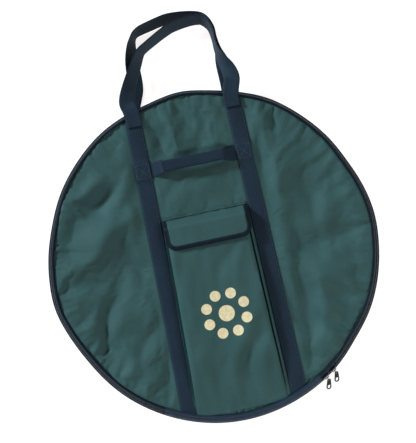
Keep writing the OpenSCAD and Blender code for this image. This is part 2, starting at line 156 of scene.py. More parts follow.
def sunlight(name, right, up, height, strength, colour, softness):
    data = bpy.data.lights.new(name, "SUN")
    data.energy = strength
    data.color = colour
    data.angle = math.radians(softness)
    lamp = bpy.data.objects.new(name, data)
    bpy.context.scene.collection.objects.link(lamp)
    lamp.location = ACROSS * right + UPWARD * up + Vector((0, 0, height))
    aim(lamp, (0, 0, 0))


sunlight("window", -2.6, 1.3, 1.2, 4.1, (0.62, 0.90, 1.0), 10)
area_light("sky", 1.9, -1.0, 1.6, 1.3, 34, (0.70, 0.94, 1.0))

world = bpy.data.worlds.new("room")
world.use_nodes = True
world.node_tree.nodes["Background"].inputs["Color"].default_value = (1.0, 0.95, 0.86, 1)
world.node_tree.nodes["Background"].inputs["Strength"].default_value = 0.27
bpy.context.scene.world = world
bpy.context.scene.view_settings.view_transform = "Standard"

FLOOR_Z = CAD_BOX[0][2]
FLOOR_GAP = mm(0.3)
FLOOR_RADIUS = 6
FLOOR_GLOW = 0.84


def make_floor():
    bm = bmesh.new()
    bmesh.ops.create_circle(bm, cap_ends=True, segments=64, radius=FLOOR_RADIUS)
    bmesh.ops.translate(bm, verts=bm.verts, vec=(0, 0, FLOOR_Z - FLOOR_GAP))
    mesh = bpy.data.meshes.new("floor")
    bm.to_mesh(mesh)
    bm.free()
    floor = bpy.data.objects.new("floor", mesh)
    bpy.context.scene.collection.objects.link(floor)
    material = bpy.data.materials.new("pale_floor")
    material.use_nodes = True
    shader = material.node_tree.nodes["Principled BSDF"]
    shader.inputs["Base Color"].default_value = (0.58, 0.58, 0.58, 1)
    shader.inputs["Roughness"].default_value = 0.9
    shader.inputs["Emission Color"].default_value = (1.0, 0.96, 0.95, 1)
    shader.inputs["Emission Strength"].default_value = FLOOR_GLOW
    mesh.materials.append(material)


make_floor()

# %% [markdown]
# Cloth shows its weave, and the same weave serves the bag cloth, the lining and the zip's tape at
# different thread sizes. So it is a node group: it takes a position on the cloth in metres and a
# thread size, and gives a height for the bump and a tone for the colour. Webbing is coarser. Its
# threads run along it in ribs that lean left and right in turn, which is its own group.

# %% Node helpers


def link_math(tree, operation, first, second=None, third=None):
    node = tree.nodes.new("ShaderNodeMath")
    node.operation = operation
    for slot_number, value in enumerate((first, second, third)):
        if value is None:
            continue
        if isinstance(value, (int, float)):
            node.inputs[slot_number].default_value = value
        else:
            tree.links.new(value, node.inputs[slot_number])
    return node.outputs[0]


def link_noise(tree, vector, scale, detail=2.0):
    node = tree.nodes.new("ShaderNodeTexNoise")
    node.inputs["Scale"].default_value = scale
    node.inputs["Detail"].default_value = detail
    tree.links.new(vector, node.inputs["Vector"])
    return node.outputs["Fac"]


def link_ramp(tree, factor, low, high, to_low=0.0, to_high=1.0):
    node = tree.nodes.new("ShaderNodeMapRange")
    for name, value in (("From Min", low), ("From Max", high), ("To Min", to_low), ("To Max", to_high)):
        node.inputs[name].default_value = value
    tree.links.new(factor, node.inputs["Value"])
    return node.outputs["Result"]


def new_group(name, inputs, outputs):
    group = bpy.data.node_groups.new(name, "ShaderNodeTree")
    for title, kind in inputs:
        group.interface.new_socket(title, in_out="INPUT", socket_type=kind)
    for title in outputs:
        group.interface.new_socket(title, in_out="OUTPUT", socket_type="NodeSocketFloat")
    return group, group.nodes.new("NodeGroupInput"), group.nodes.new("NodeGroupOutput")


# %% The plain weave
def make_weave():
    group, start, end = new_group(
        "plain_weave",
        [("Vector", "NodeSocketVector"), ("Thread", "NodeSocketFloat")],
        ["Height", "Tone"],
    )
    split = group.nodes.new("ShaderNodeSeparateXYZ")
    group.links.new(start.outputs["Vector"], split.inputs[0])
    turns = [
        link_math(group, "SINE", link_math(group, "MULTIPLY", math.pi, link_math(
            group, "DIVIDE", split.outputs[axis], start.outputs["Thread"])))
        for axis in (0, 1)
    ]
    over = link_math(group, "MULTIPLY", turns[0], turns[1])
    warp = link_math(group, "ABSOLUTE", turns[0])
    weft = link_math(group, "ABSOLUTE", turns[1])
    choice = link_ramp(group, over, -0.15, 0.15)
    rest = link_math(group, "MULTIPLY", weft, link_math(group, "SUBTRACT", 1.0, choice))
    height = link_math(group, "MULTIPLY_ADD", warp, choice, rest)
    slub = link_noise(group, start.outputs["Vector"], 900)
    group.links.new(height, end.inputs["Height"])
    group.links.new(link_math(group, "MULTIPLY", height, slub), end.inputs["Tone"])
    return group


WEAVE = make_weave()


# %% The webbing's ribs
def make_ribs():
    group, start, end = new_group(
        "webbing_ribs",
        [("Vector", "NodeSocketVector"), ("Rib", "NodeSocketFloat")],
        ["Height", "Tone"],
    )
    split = group.nodes.new("ShaderNodeSeparateXYZ")
    group.links.new(start.outputs["Vector"], split.inputs[0])
    across = link_math(group, "DIVIDE", split.outputs[1], start.outputs["Rib"])
    along = link_math(group, "DIVIDE", split.outputs[0], start.outputs["Rib"])
    turn = link_math(group, "MULTIPLY", math.pi, across)
    rib = link_math(group, "ABSOLUTE", link_math(group, "SINE", turn))
    lean = link_math(group, "PINGPONG", across, 1.0)
    wave = link_math(group, "MULTIPLY", math.pi, link_math(group, "ADD", along, lean))
    pick = link_math(group, "ABSOLUTE", link_math(group, "SINE", wave))
    height = link_math(group, "MULTIPLY", rib, link_ramp(group, pick, 0, 1, 0.45, 1.0))
    group.links.new(height, end.inputs["Height"])
    patch = link_noise(group, start.outputs["Vector"], 220)
    group.links.new(link_math(group, "MULTIPLY", height, patch), end.inputs["Tone"])
    return group


RIBS = make_ribs()

# %% [markdown]
# A cloth material mixes two close shades by a slow noise, so that a wide panel never looks painted,
# darkens a little between the threads, and gets its bump from the same threads. Sheen stands for the
# tiny fibres that catch light at a low angle, which is why folds in it turn a cooler, paler green.

# %% Cloth materials


def cloth_material(name, group, size_name, size, dark, light, roughness, bump, sheen, tint,
                   mottle=14, gloss=0.28, tone=0.35):
    material = bpy.data.materials.new(name)
    material.use_nodes = True
    tree = material.node_tree
    shader = tree.nodes["Principled BSDF"]
    place = tree.nodes.new("ShaderNodeUVMap")
    place.uv_map = "cloth"
    threads = tree.nodes.new("ShaderNodeGroup")
    threads.node_tree = group
    threads.inputs[size_name].default_value = size
    tree.links.new(place.outputs["UV"], threads.inputs["Vector"])
    slow = link_noise(tree, place.outputs["UV"], mottle, 3.0)
    fine = link_noise(tree, place.outputs["UV"], mottle * 12, 2.0)
    shade = link_math(tree, "MULTIPLY_ADD", link_math(tree, "SUBTRACT", slow, 0.5), 0.9, 0.42)
    speckle = link_math(tree, "MULTIPLY", link_math(tree, "SUBTRACT", fine, 0.5), 0.35)
    shade = link_math(tree, "ADD", shade, speckle)
    shade = link_math(tree, "MULTIPLY_ADD", threads.outputs["Tone"], tone, shade)
    mix = tree.nodes.new("ShaderNodeMix")
    mix.data_type = "RGBA"
    mix.clamp_factor = True
    mix.inputs["A"].default_value = (*dark, 1)
    mix.inputs["B"].default_value = (*light, 1)
    tree.links.new(shade, mix.inputs["Factor"])
    tree.links.new(mix.outputs["Result"], shader.inputs["Base Color"])
    dullness = link_ramp(tree, threads.outputs["Height"], 0, 1, roughness + 0.12, roughness)
    tree.links.new(dullness, shader.inputs["Roughness"])
    bumps = tree.nodes.new("ShaderNodeBump")
    bumps.inputs["Distance"].default_value = bump
    bumps.inputs["Strength"].default_value = 0.8
    tree.links.new(threads.outputs["Height"], bumps.inputs["Height"])
    tree.links.new(bumps.outputs["Normal"], shader.inputs["Normal"])
    shader.inputs["Specular IOR Level"].default_value = gloss
    shader.inputs["Sheen Weight"].default_value = sheen
    shader.inputs["Sheen Roughness"].default_value = 0.42
    shader.inputs["Sheen Tint"].default_value = (*tint, 1)
    return material


GREEN = cloth_material("green_cloth", WEAVE, "Thread", mm(0.55),
                       (0.030, 0.063, 0.060), (0.052, 0.107, 0.107),
                       0.62, mm(0.10), 0.09, (0.35, 0.85, 1.0), gloss=0.20)
LINING = cloth_material("lining_cloth", WEAVE, "Thread", mm(0.4),
                        (0.010, 0.011, 0.013), (0.022, 0.024, 0.028),
                        0.68, mm(0.05), 0.03, (0.6, 0.65, 0.7), gloss=0.12)
TAPE = cloth_material("tape_cloth", WEAVE, "Thread", mm(0.7),
                      (0.003, 0.008, 0.018), (0.008, 0.017, 0.034),
                      0.62, mm(0.10), 0.03, (0.5, 0.6, 0.8), gloss=0.15)
GUSSET = cloth_material("gusset_cloth", WEAVE, "Thread", mm(0.8),
                        (0.008, 0.019, 0.038), (0.015, 0.034, 0.066),
                        0.58, mm(0.12), 0.06, (0.5, 0.65, 0.9), gloss=0.2)
WEBBING = cloth_material("webbing", RIBS, "Rib", mm(2.4),
                         (0.0035, 0.0090, 0.019), (0.0120, 0.0250, 0.046),
                         0.58, mm(0.45), 0.06, (0.45, 0.6, 0.85), 20, 0.24, 0.8)
BINDING = cloth_material("binding_tape", RIBS, "Rib", mm(0.9),
                         (0.0018, 0.0045, 0.010), (0.005, 0.011, 0.022),
                         0.56, mm(0.15), 0.02, (0.5, 0.6, 0.8), 30, 0.14)

# %% [markdown]
# Thread, moulded nylon and metal need less. Each reads its piece's own Object coordinates, because
# none of them has a pattern that must follow a surface. Metal that is coated black wears on its
# high spots, so a noise lets a little bare metal through.

# %% Thread, nylon, metal and foil


def plain_material(name, dark, light, roughness, scale, metallic=0.0, bump=0.0, spread=0.1):
    material = bpy.data.materials.new(name)
    material.use_nodes = True
    tree = material.node_tree
    shader = tree.nodes["Principled BSDF"]
    place = tree.nodes.new("ShaderNodeTexCoord").outputs["Object"]
    grain = link_noise(tree, place, scale, 3.0)
    mix = tree.nodes.new("ShaderNodeMix")
    mix.data_type = "RGBA"
    mix.inputs["A"].default_value = (*dark, 1)
    mix.inputs["B"].default_value = (*light, 1)
    tree.links.new(link_ramp(tree, grain, 0.35, 0.65), mix.inputs["Factor"])
    tree.links.new(mix.outputs["Result"], shader.inputs["Base Color"])
    dullness = link_ramp(tree, grain, 0.3, 0.7, roughness, roughness + spread)
    tree.links.new(dullness, shader.inputs["Roughness"])
    shader.inputs["Metallic"].default_value = metallic
    if bump:
        bumps = tree.nodes.new("ShaderNodeBump")
        bumps.inputs["Distance"].default_value = bump
        tree.links.new(grain, bumps.inputs["Height"])
        tree.links.new(bumps.outputs["Normal"], shader.inputs["Normal"])
    return material


THREAD = plain_material("thread", (0.030, 0.050, 0.080), (0.055, 0.085, 0.125), 0.5, 900)
NYLON = plain_material("zip_nylon", (0.003, 0.004, 0.007), (0.009, 0.012, 0.019), 0.38, 400)
COATED = plain_material("coated_metal", (0.005, 0.005, 0.006), (0.016, 0.015, 0.015), 0.34, 500, 0.1)
STEEL = plain_material("bare_steel", (0.10, 0.095, 0.09), (0.26, 0.25, 0.23), 0.28, 700, 1.0)
FOIL = plain_material("gold_foil", (0.94, 0.62, 0.35), (1.0, 0.80, 0.52), 0.34, 160, 0.12)
HOOKS = plain_material("hook_strip", (0.006, 0.006, 0.007), (0.020, 0.020, 0.022), 0.8, 1500, 0, mm(1.2))

# %% [markdown]
# The pieces are laid over one another: a strap on the panel, a pocket on the panel, a stitch on the
# strap. So heights are functions of the place on the bag, and each piece asks the one beneath it. The
# front panel is a low dome with four kinds of relief: long soft folds that lean across the cloth,
# puckers and sharper notches that fan in from the seam where the cloth is gathered, and a dip beside
# each sewn strap. An empty bag is flat, so the dome has only a part of the height of the CAD one, the
# share called CROWN. Under the grip the folds are calmed, so that the cloth leaves it room to tip.
#
# A long fold is a line from one point to another in millimetres, then its width and its height. A
# notch is an angle round the rim in degrees, a height and a length: it widens from the seam inwards, and
# rises on one side of its valley. A negative height turns a fold into a valley, and a notch into a ridge.

# %% Heights of the front panel
FOLD_GAIN = 1.8
WEB_WIDTH = mm(30)
WEB_THICK = mm(1.6)
STRAP_TOP_Y = corner("back_strap_right", 1, "y")
STRAP_LOW_Y = corner("back_strap_right", 0, "y")
STRAP_TOP_X = corner("back_strap_right", 0, "x") + WEB_WIDTH / 2
STRAP_LOW_X = corner("back_strap_right", 1, "x") - WEB_WIDTH / 2
GRIP_Y = (corner("grip_bar", 0, "y") + corner("grip_bar", 1, "y")) / 2
POCKET_TOP = corner("pocket_panel", 1, "y")


def ease(t):
    t = min(max(t, 0.0), 1.0)
    return t * t * (3 - 2 * t)


def strap_x(y):
    return STRAP_LOW_X + (STRAP_TOP_X - STRAP_LOW_X) * (y - STRAP_LOW_Y) / (STRAP_TOP_Y - STRAP_LOW_Y)


CROWN = 0.5


def dome(r):
    return SEAM_Z + (DOME_TOP - SEAM_Z) * CROWN * (1 - (r / SEAM_R) ** 2)


def leaning_noise(x, y, lean, across, along, seed):
    u = x * math.cos(lean) + y * math.sin(lean)
    v = y * math.cos(lean) - x * math.sin(lean)
    return noise.noise(Vector((v / across, u / along, seed)))


FOLDS = (
    (-265, 130, -165, 195, 17, 4.6), (-275, 60, -160, 160, 20, -4.0), (-280, 0, -205, 50, 18, 4.2),
    (-205, 50, -115, 120, 20, 4.4), (-235, -80, -120, 5, 24, -4.6), (-300, -20, -262, 8, 9, -3.6),
    (-210, 15, -175, 45, 11, 1.8), (-252, -148, -215, -95, 11, -4.2), (-190, -160, -125, -65, 19, 4.6),
    (-222, -145, -208, -75, 15, -2.6), (-190, -220, -122, -90, 14, -3.6), (-175, -240, -170, -190, 12, 3.0),
    (-40, 275, -30, 205, 12, 3.4), (-66, 262, -58, 205, 11, -3.4), (30, 275, 20, 215, 12, -2.4),
    (130, 250, 138, 175, 14, 3.6), (138, 175, 162, 50, 22, 4.6), (94, 210, 128, 262, 12, -3.4),
    (190, 25, 220, 80, 16, -4.0), (220, 80, 270, 100, 13, -2.6), (160, -25, 215, -25, 20, -2.2),
    (150, -60, 145, -235, 17, -3.8), (178, -65, 195, -230, 16, 4.6), (225, -85, 248, -150, 14, 3.2))


def laid_folds(x, y, folds=FOLDS):
    total = 0.0
    for x0, y0, x1, y1, width, height in folds:
        dx, dy = mm(x1 - x0), mm(y1 - y0)
        length = math.hypot(dx, dy)
        along = ((x - mm(x0)) * dx + (y - mm(y0)) * dy) / length
        aside = ((y - mm(y0)) * dx - (x - mm(x0)) * dy) / length
        aside += mm(9) * math.sin(along / mm(34) + height)
        if abs(aside) > mm(3 * width):
            continue
        fade = ease((along + mm(22)) / mm(44)) * ease((length + mm(22) - along) / mm(44))
        total += mm(FOLD_GAIN * height) * fade * math.exp(-((aside / mm(width)) ** 2))
    return total


def soft_folds(x, y):
    right = ease((x + 0.05) / 0.12)
    total = laid_folds(x, y)
    for height, across, along, seed in ((mm(5.0), 0.055, 0.20, 3.1), (mm(4.4), 0.028, 0.10, 8.4)):
        left_part = leaning_noise(x, y, math.radians(50), across, along, seed)
        right_part = leaning_noise(x, y, math.radians(84), across, along, seed + 5)
        total += height * (left_part * (1 - right) + right_part * right)
    return total


NOTCHES = (
    (-97, 1.0, 55), (-84, -1.0, 45), (-118, 1.1, 60), (-127, -0.9, 50), (-139, 1.2, 70),
    (-152, -1.0, 50), (-163, 1.1, 55), (-177, 1.2, 60), (166, -0.9, 50), (150, 1.0, 55),
    (128, -0.9, 45), (93, 1.2, 60), (56, 1.1, 60), (44, -0.9, 50), (30, 1.0, 50), (14, -1.0, 55),
    (0, 1.2, 60), (-14, -0.9, 50), (-27, 1.0, 55), (-41, 1.1, 55), (-52, -0.9, 45))
NOTCH_WIDTH = mm(3)
NOTCH_SPREAD = 0.32
NOTCH_STEEPNESS = 0.3


def rim_puckers(x, y, depth):
    around = Vector((x, y, 0)).normalized() * SEAM_R
    close = 0.28 - abs(noise.noise(around / mm(12)))
    wide = 0.22 - abs(noise.noise(around / mm(40) + Vector((3, 7, 1))))
    swell = noise.noise(around / mm(60) + Vector((8, 1, 4)))
    reach = mm(13) + mm(26) * max(0.0, swell)
    return (mm(8.5) * close + mm(8.5) * wide) * math.exp(-depth / reach)


def rim_notches(x, y, depth):
    around = math.atan2(y, x)
    width = NOTCH_WIDTH + NOTCH_SPREAD * depth
    total = 0.0
    for degrees, height, length in NOTCHES:
        away = (around - math.radians(degrees) + math.pi) % (2 * math.pi) - math.pi
        across = away * (PANEL_R - depth) / width
        if abs(across) < 3:
            fade = math.exp(-across * across - depth / mm(length))
            total += NOTCH_STEEPNESS * height * width * (2.3 * across - 1.0) * fade
    return total


def in_pocket(x, y):
    return ease((mm(84) - abs(x)) / mm(6)) * ease((POCKET_TOP + mm(6) - y) / mm(12))


def by_grip(x, y):
    return ease((mm(92) - abs(x)) / mm(14)) * ease((mm(26) - abs(y - GRIP_Y)) / mm(12))


def skin(x, y):
    r = math.hypot(x, y)
    depth = max(PANEL_R - r, 0.0)
    beside = abs(abs(x) - strap_x(y)) - WEB_WIDTH / 2
    calm = (0.10 + 0.90 * ease((beside + mm(3)) / mm(30))) * (1 - 0.9 * in_pocket(x, y))
    calm *= (0.35 + 0.65 * ease(depth / mm(30))) * (1 - 0.75 * by_grip(x, y))
    height = dome(r) + soft_folds(x, y) * calm
    puckers = rim_puckers(x, y, depth) + rim_notches(x, y, depth)
    height += puckers * ease((depth + mm(1)) / mm(4)) * ease((beside + mm(2)) / mm(14))
    height -= mm(2.0) * math.exp(-depth / mm(5))
    return height - mm(0.7) * math.exp(-((beside / mm(6)) ** 2))


# %% [markdown]
# An empty bag is never a perfect circle. Each bulge of the outline below is a place, a height and a
# width, and the whole rim, with all that is sewn to it, is eased in or out by the same amount. It
# fades towards the middle, and to nothing where the sliders rest, because they are rigid. The front
# has also slumped a few millimetres towards the loops, so the band shows more at the foot.

# %% The soft outline
BULGES = ((-42, -3, 9), (-95, 2.4, 26), (-152, -3.5, 13), (-174, 3, 9), (158, -2.4, 10),
          (120, 2, 11), (90, 4.2, 8), (59, 3, 11), (24, -2.4, 9), (3, 1.7, 9))


def outline(angle):
    degrees = math.degrees(angle)
    total = 0.0
    for place, height, width in BULGES:
        away = (degrees - place + 180) % 360 - 180
        total += mm(height) * math.exp(-((away / width) ** 2))
    return total


SLUMP = mm(3.5)


def settle(bm):
    for vert in bm.verts:
        vert.co.y += SLUMP * ease((vert.co.z - mm(19)) / mm(13))
        r = math.hypot(vert.co.x, vert.co.y)
        share = ease((r - 0.18) / 0.11) * (1 - ease((r - 0.32) / 0.1))
        if share > 0:
            grow = 1 + outline(math.atan2(vert.co.y, vert.co.x)) * share / r
            vert.co.x *= grow
            vert.co.y *= grow


# %% [markdown]
# Each mesh keeps, at every vertex, where that point was on the flat cloth: its distance along and
# across. Spinning or extruding copies the value, and at the end it becomes the UV map that the weave
# reads. Round a full ring the distance starts again, so a face on that line gets the full girth.

# %% Mesh helpers


def lay_layer(bm):
    return bm.verts.layers.float_vector.get("lay") or bm.verts.layers.float_vector.new("lay")


def write_uv(bm, girth):
    lay = lay_layer(bm)
    uv = bm.loops.layers.uv.new("cloth")
    for face in bm.faces:
        high = max(loop.vert[lay].x for loop in face.loops)
        for loop in face.loops:
            u, v, _ = loop.vert[lay]
            if girth and high - u > girth / 2:
                u += girth
            loop[uv].uv = (u, v)


def piece(name, bm, material, girth=0.0, smooth=True, sway=True):
    if sway:
        settle(bm)
    bmesh.ops.recalc_face_normals(bm, faces=bm.faces)
    write_uv(bm, girth)
    for face in bm.faces:
        face.smooth = smooth
    mesh = bpy.data.meshes.new(name)
    bm.to_mesh(mesh)
    bm.free()
    mesh.set_sharp_from_angle(angle=math.radians(58))
    obj = bpy.data.objects.new(name, mesh)
    bpy.context.scene.collection.objects.link(obj)
    for one in material if isinstance(material, tuple) else (material,):
        mesh.materials.append(one)
    print(f"{name}: {len(mesh.polygons)} faces")
    return obj


def join_rides(obj, body, slot, *nodes):
    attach(obj, body)
    if nodes:
        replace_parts(obj, *nodes)
    return obj


def join_bends(obj, slot, *nodes):
    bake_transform(obj)
    if nodes:
        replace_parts(obj, *nodes)
    return obj


def spin_profile(points, start, end, step, closed=False):
    """A mesh made by turning points (radius, height) about the bag's axis, from start to end."""
    bm = bmesh.new()
    lay = lay_layer(bm)
    verts = []
    across = 0.0
    for index, (radius, height) in enumerate(points):
        if index:
            across += math.hypot(radius - points[index - 1][0], height - points[index - 1][1])
        vert = bm.verts.new((radius, 0, height))
        vert[lay] = (0, across, 0)
        verts.append(vert)
    edges = [bm.edges.new(pair) for pair in zip(verts, verts[1:])]
    if closed:
        edges.append(bm.edges.new((verts[-1], verts[0])))
    bmesh.ops.rotate(bm, verts=verts, cent=(0, 0, 0), matrix=Matrix.Rotation(start, 3, "Z"))
    full = end - start > 2 * math.pi - 1e-6
    reach = max(p[0] for p in points)
    steps = max(3, round((end - start) * reach / step))
    bmesh.ops.spin(bm, geom=verts + edges, cent=(0, 0, 0), axis=(0, 0, 1), dvec=(0, 0, 0),
                   angle=end - start, steps=steps, use_merge=full, use_duplicate=False)
    bmesh.ops.remove_doubles(bm, verts=bm.verts, dist=1e-6)
    if closed and not full:
        bmesh.ops.holes_fill(bm, edges=[e for e in bm.edges if e.is_boundary], sides=0)
    for vert in bm.verts:
        angle = (math.atan2(vert.co.y, vert.co.x) - start) % (2 * math.pi)
        vert[lay] = (angle * reach, vert[lay].y, 0)
    return bm, 2 * math.pi * reach if full else 0.0


def oval(centre, wide, tall, count=16, tilt=0.0):
    out = []
    for index in range(count):
        a = 2 * math.pi * index / count
        x, y = wide * math.cos(a), tall * math.sin(a)
        out.append((centre[0] + x * math.cos(tilt) - y * math.sin(tilt),
                    centre[1] + x * math.sin(tilt) + y * math.cos(tilt)))
    return out


# %% [markdown]
# The front panel is a disc of cloth over foam. It could be a flat grid, but a disc spun from one radius
# keeps its edge loops parallel to the seam, where the puckers need them closest. After the spin every
# vertex is dropped on to the panel's height, and the cloth's thickness is added downwards.

# %% Front panel


def disc_radii(outer, coarse, fine, fine_width):
    radii = [0.0]
    while radii[-1] < outer - fine_width:
        radii.append(radii[-1] + coarse)
    count = max(2, round((outer - radii[-1]) / fine))
    inner = radii[-1]
    radii += [inner + (outer - inner) * (i + 1) / count for i in range(count)]
    return radii


def plan_uv(bm):
    lay = lay_layer(bm)
    for vert in bm.verts:
        vert[lay] = (vert.co.x, vert.co.y, 0)


def front_panel():
    radii = disc_radii(PANEL_R + mm(0.6), mm(6.0), mm(2.2), mm(34))
    bm, _ = spin_profile([(r, 0) for r in radii], 0, 2 * math.pi, mm(4.2))
    plan_uv(bm)
    bmesh.ops.recalc_face_normals(bm, faces=bm.faces)
    for vert in bm.verts:
        vert.co.z = skin(vert.co.x, vert.co.y)
    return piece("front_cover", bm, GREEN)


front_cover = front_panel()


def thicken(obj, amount):
    solid = obj.modifiers.new("cloth", "SOLIDIFY")
    solid.thickness = amount
    solid.offset = -1
    bpy.context.view_layer.update()
    graph = bpy.context.evaluated_depsgraph_get()
    mesh = bpy.data.meshes.new_from_object(obj.evaluated_get(graph))
    obj.modifiers.clear()
    old = obj.data
    obj.data = mesh
    bpy.data.meshes.remove(old)
    obj.data.name = obj.name
    obj.data.set_sharp_from_angle(angle=math.radians(58))


# %% [markdown]
# The laid folds are listed one by one. What such a list can't give is how slack cloth buckles between
# them, so the cover then goes through a short cloth simulation: it is held where it is sewn, the cloth
# is let out by a little over one part in a hundred, and the padding under it presses it up.

# %% Slack in the cover
SLACK = 0.014
SLACK_FRAMES = 14
FURTHEST = mm(5)


def looseness(x, y):
    beside = abs(abs(x) - strap_x(y)) - WEB_WIDTH / 2
    from_seam = ease((PANEL_R - mm(2) - math.hypot(x, y)) / mm(9))
    return from_seam * ease((beside - mm(1)) / mm(9)) * (1 - in_pocket(x, y)) * (1 - by_grip(x, y))


def let_out(obj):
    sewn = obj.vertex_groups.new(name="sewn")
    before = [vert.co.copy() for vert in obj.data.vertices]
    free = [looseness(co.x, co.y) for co in before]
    for index, share in enumerate(free):
        sewn.add([index], 1 - share, "REPLACE")
    cloth = obj.modifiers.new("slack", "CLOTH")
    cloth.settings.quality = 5
    cloth.settings.mass = 0.02
    cloth.settings.tension_stiffness = 12
    cloth.settings.compression_stiffness = 12
    cloth.settings.shear_stiffness = 4
    cloth.settings.bending_stiffness = 0.02
    cloth.settings.vertex_group_mass = sewn.name
    cloth.settings.shrink_min = -SLACK
    cloth.settings.use_pressure = True
    cloth.settings.uniform_pressure_force = 0.3
    cloth.settings.effector_weights.gravity = 0
    cloth.collision_settings.use_collision = False
    cloth.point_cache.frame_start = 1
    cloth.point_cache.frame_end = SLACK_FRAMES
    for frame_number in range(1, SLACK_FRAMES + 1):
        bpy.context.scene.frame_set(frame_number)
    graph = bpy.context.evaluated_depsgraph_get()
    after = [vert.co.copy() for vert in obj.evaluated_get(graph).data.vertices]
    obj.modifiers.clear()
    obj.vertex_groups.clear()
    moved = 0.0
    for vert, start, end, share in zip(obj.data.vertices, before, after, free):
        step = end - start
        if step.length > FURTHEST:
            step *= FURTHEST / step.length
        vert.co = start + step * min(1.0, share * 3)
        moved = max(moved, (vert.co - start).length)
    bpy.context.scene.frame_set(1)
    print(f"the cover moved up to {moved * 1000:.1f} mm")


let_out(front_cover)

thicken(front_cover, mm(1))
join_bends(front_cover, "green_cloth", "front_panel", "foot_panel", "front_foam", "foot_foam")

# %% [markdown]
# The lining is the inner face of the same padded panel. It is smooth and dark, and drawn in a little at
# its edge, where it is bound into the seam.

# %% Linings
LINING_DROP = DOME_TOP - corner("front_lining", 0, "z")


def front_inside(x, y):
    r = math.hypot(x, y)
    ripple = mm(1.6) * leaning_noise(x, y, 1.2, 0.05, 0.13, 21.0)
    edge = mm(3.6) * math.exp(-max(PANEL_R - r, 0) / mm(6))
    return dome(r) - LINING_DROP + ripple * ease((PANEL_R - r) / mm(30)) + edge


def lining(name, height, outer):
    radii = disc_radii(outer, mm(9), mm(4), mm(20))
    bm, _ = spin_profile([(r, 0) for r in radii], 0, 2 * math.pi, mm(7))
    plan_uv(bm)
    for vert in bm.verts:
        vert.co.z = height(vert.co.x, vert.co.y)
    obj = piece(name, bm, LINING)
    thicken(obj, mm(0.8))
    return obj


join_bends(lining("front_inside", front_inside, PANEL_R - mm(1)), "lining", "front_lining", "foot_lining")

BACK_TOP = corner("back_lining", 1, "z")


def back_inside(x, y):
    r = math.hypot(x, y)
    ripple = mm(1.2) * abs(leaning_noise(x, y, 0.4, 0.06, 0.16, 33.0))
    return BACK_TOP + ripple * ease((LOW_R - r) / mm(40))


back_inner = lining("back_inside", back_inside, LOW_R - mm(4))
join_rides(back_inner, "back_half", "lining", "back_lining", "back_foam")

# %% [markdown]
# The back panel carries the bag's weight, so it is flat where it lies on the floor. It turns up to the
# lower seam all round, and steps up over the two straps that are sewn under it.

# %% Back panel
TURN_R = corner("back_panel", 1, "x")
TURN_Z = corner("back_panel", 1, "z")
FLAT_R = BAG_R - mm(10)


def back_skin(x, y):
    r = math.hypot(x, y)
    beside = abs(abs(x) - strap_x(y)) - WEB_WIDTH / 2
    inside = ease((y - STRAP_LOW_Y + mm(8)) / mm(4))
    step = (WEB_THICK + mm(0.1)) * ease((mm(2.2) - beside) / mm(2)) * inside
    ripple = mm(0.8) * max(0.0, leaning_noise(x, y, 0.9, 0.05, 0.15, 12.0)) * ease(beside / mm(20))
    turn = TURN_Z * max(0.0, (r - FLAT_R) / (TURN_R - FLAT_R)) ** 2
    return max(step, ripple * ease((FLAT_R - r) / mm(20))) + turn


def back_panel():
    radii = disc_radii(TURN_R, mm(5), mm(1.6), mm(14))
    bm, _ = spin_profile([(r, 0) for r in radii], 0, 2 * math.pi, mm(6))
    plan_uv(bm)
    for vert in bm.verts:
        vert.co.z = back_skin(vert.co.x, vert.co.y)
    obj = piece("back_cover", bm, GREEN)
    for polygon in obj.data.polygons:
        polygon.flip()
    thicken(obj, mm(0.9))
    return obj


back_cover = back_panel()
join_rides(back_cover, "back_half", "green_cloth", "back_panel")

# %% [markdown]
# Piping is a cord wrapped in tape and caught in the seam. From above it reads as a thin dark roll, with
# the seam's shadow beside it. It is a circle spun round the bag, a little flattened against the cloth.

# %% Piping
def full_ring(name, points, material, step=mm(4)):
    bm, girth = spin_profile(points, 0, 2 * math.pi, step, closed=True)
    return piece(name, bm, material, girth)


upper_oval = oval((SEAM_R + mm(0.2), SEAM_Z - mm(0.3)), mm(2.4), mm(2.1), 14, 0.3)
upper_roll = full_ring("upper_piping", upper_oval, BINDING)
join_bends(upper_roll, "binding", "front_piping", "foot_piping")
lower_roll = full_ring("lower_piping", oval((LOW_R, LOW_Z), mm(2.1), mm(2.3), 14), BINDING)
join_rides(lower_roll, "back_half", "binding", "back_piping")

# %% [markdown]
# The webbing straps run from seam to seam. Webbing has soft, round edges, so its cross-section is a
# flat loop with rounded ends, and the strap is that loop extruded station by station. It is made flat
# and then dropped on to the panel, point by point, as a strap lies before it is sewn.

# %% Sweeping a section along stations


def web_section(width, thick, columns=8, low=0.0):
    edge = thick * 0.45
    inner = width / 2 - edge
    top = [(-inner + 2 * inner * i / columns, low + thick) for i in range(columns + 1)]
    bottom = [(x, low) for x, _ in reversed(top)]
    return [(-width / 2, low + thick / 2)] + top + [(width / 2, low + thick / 2)] + bottom


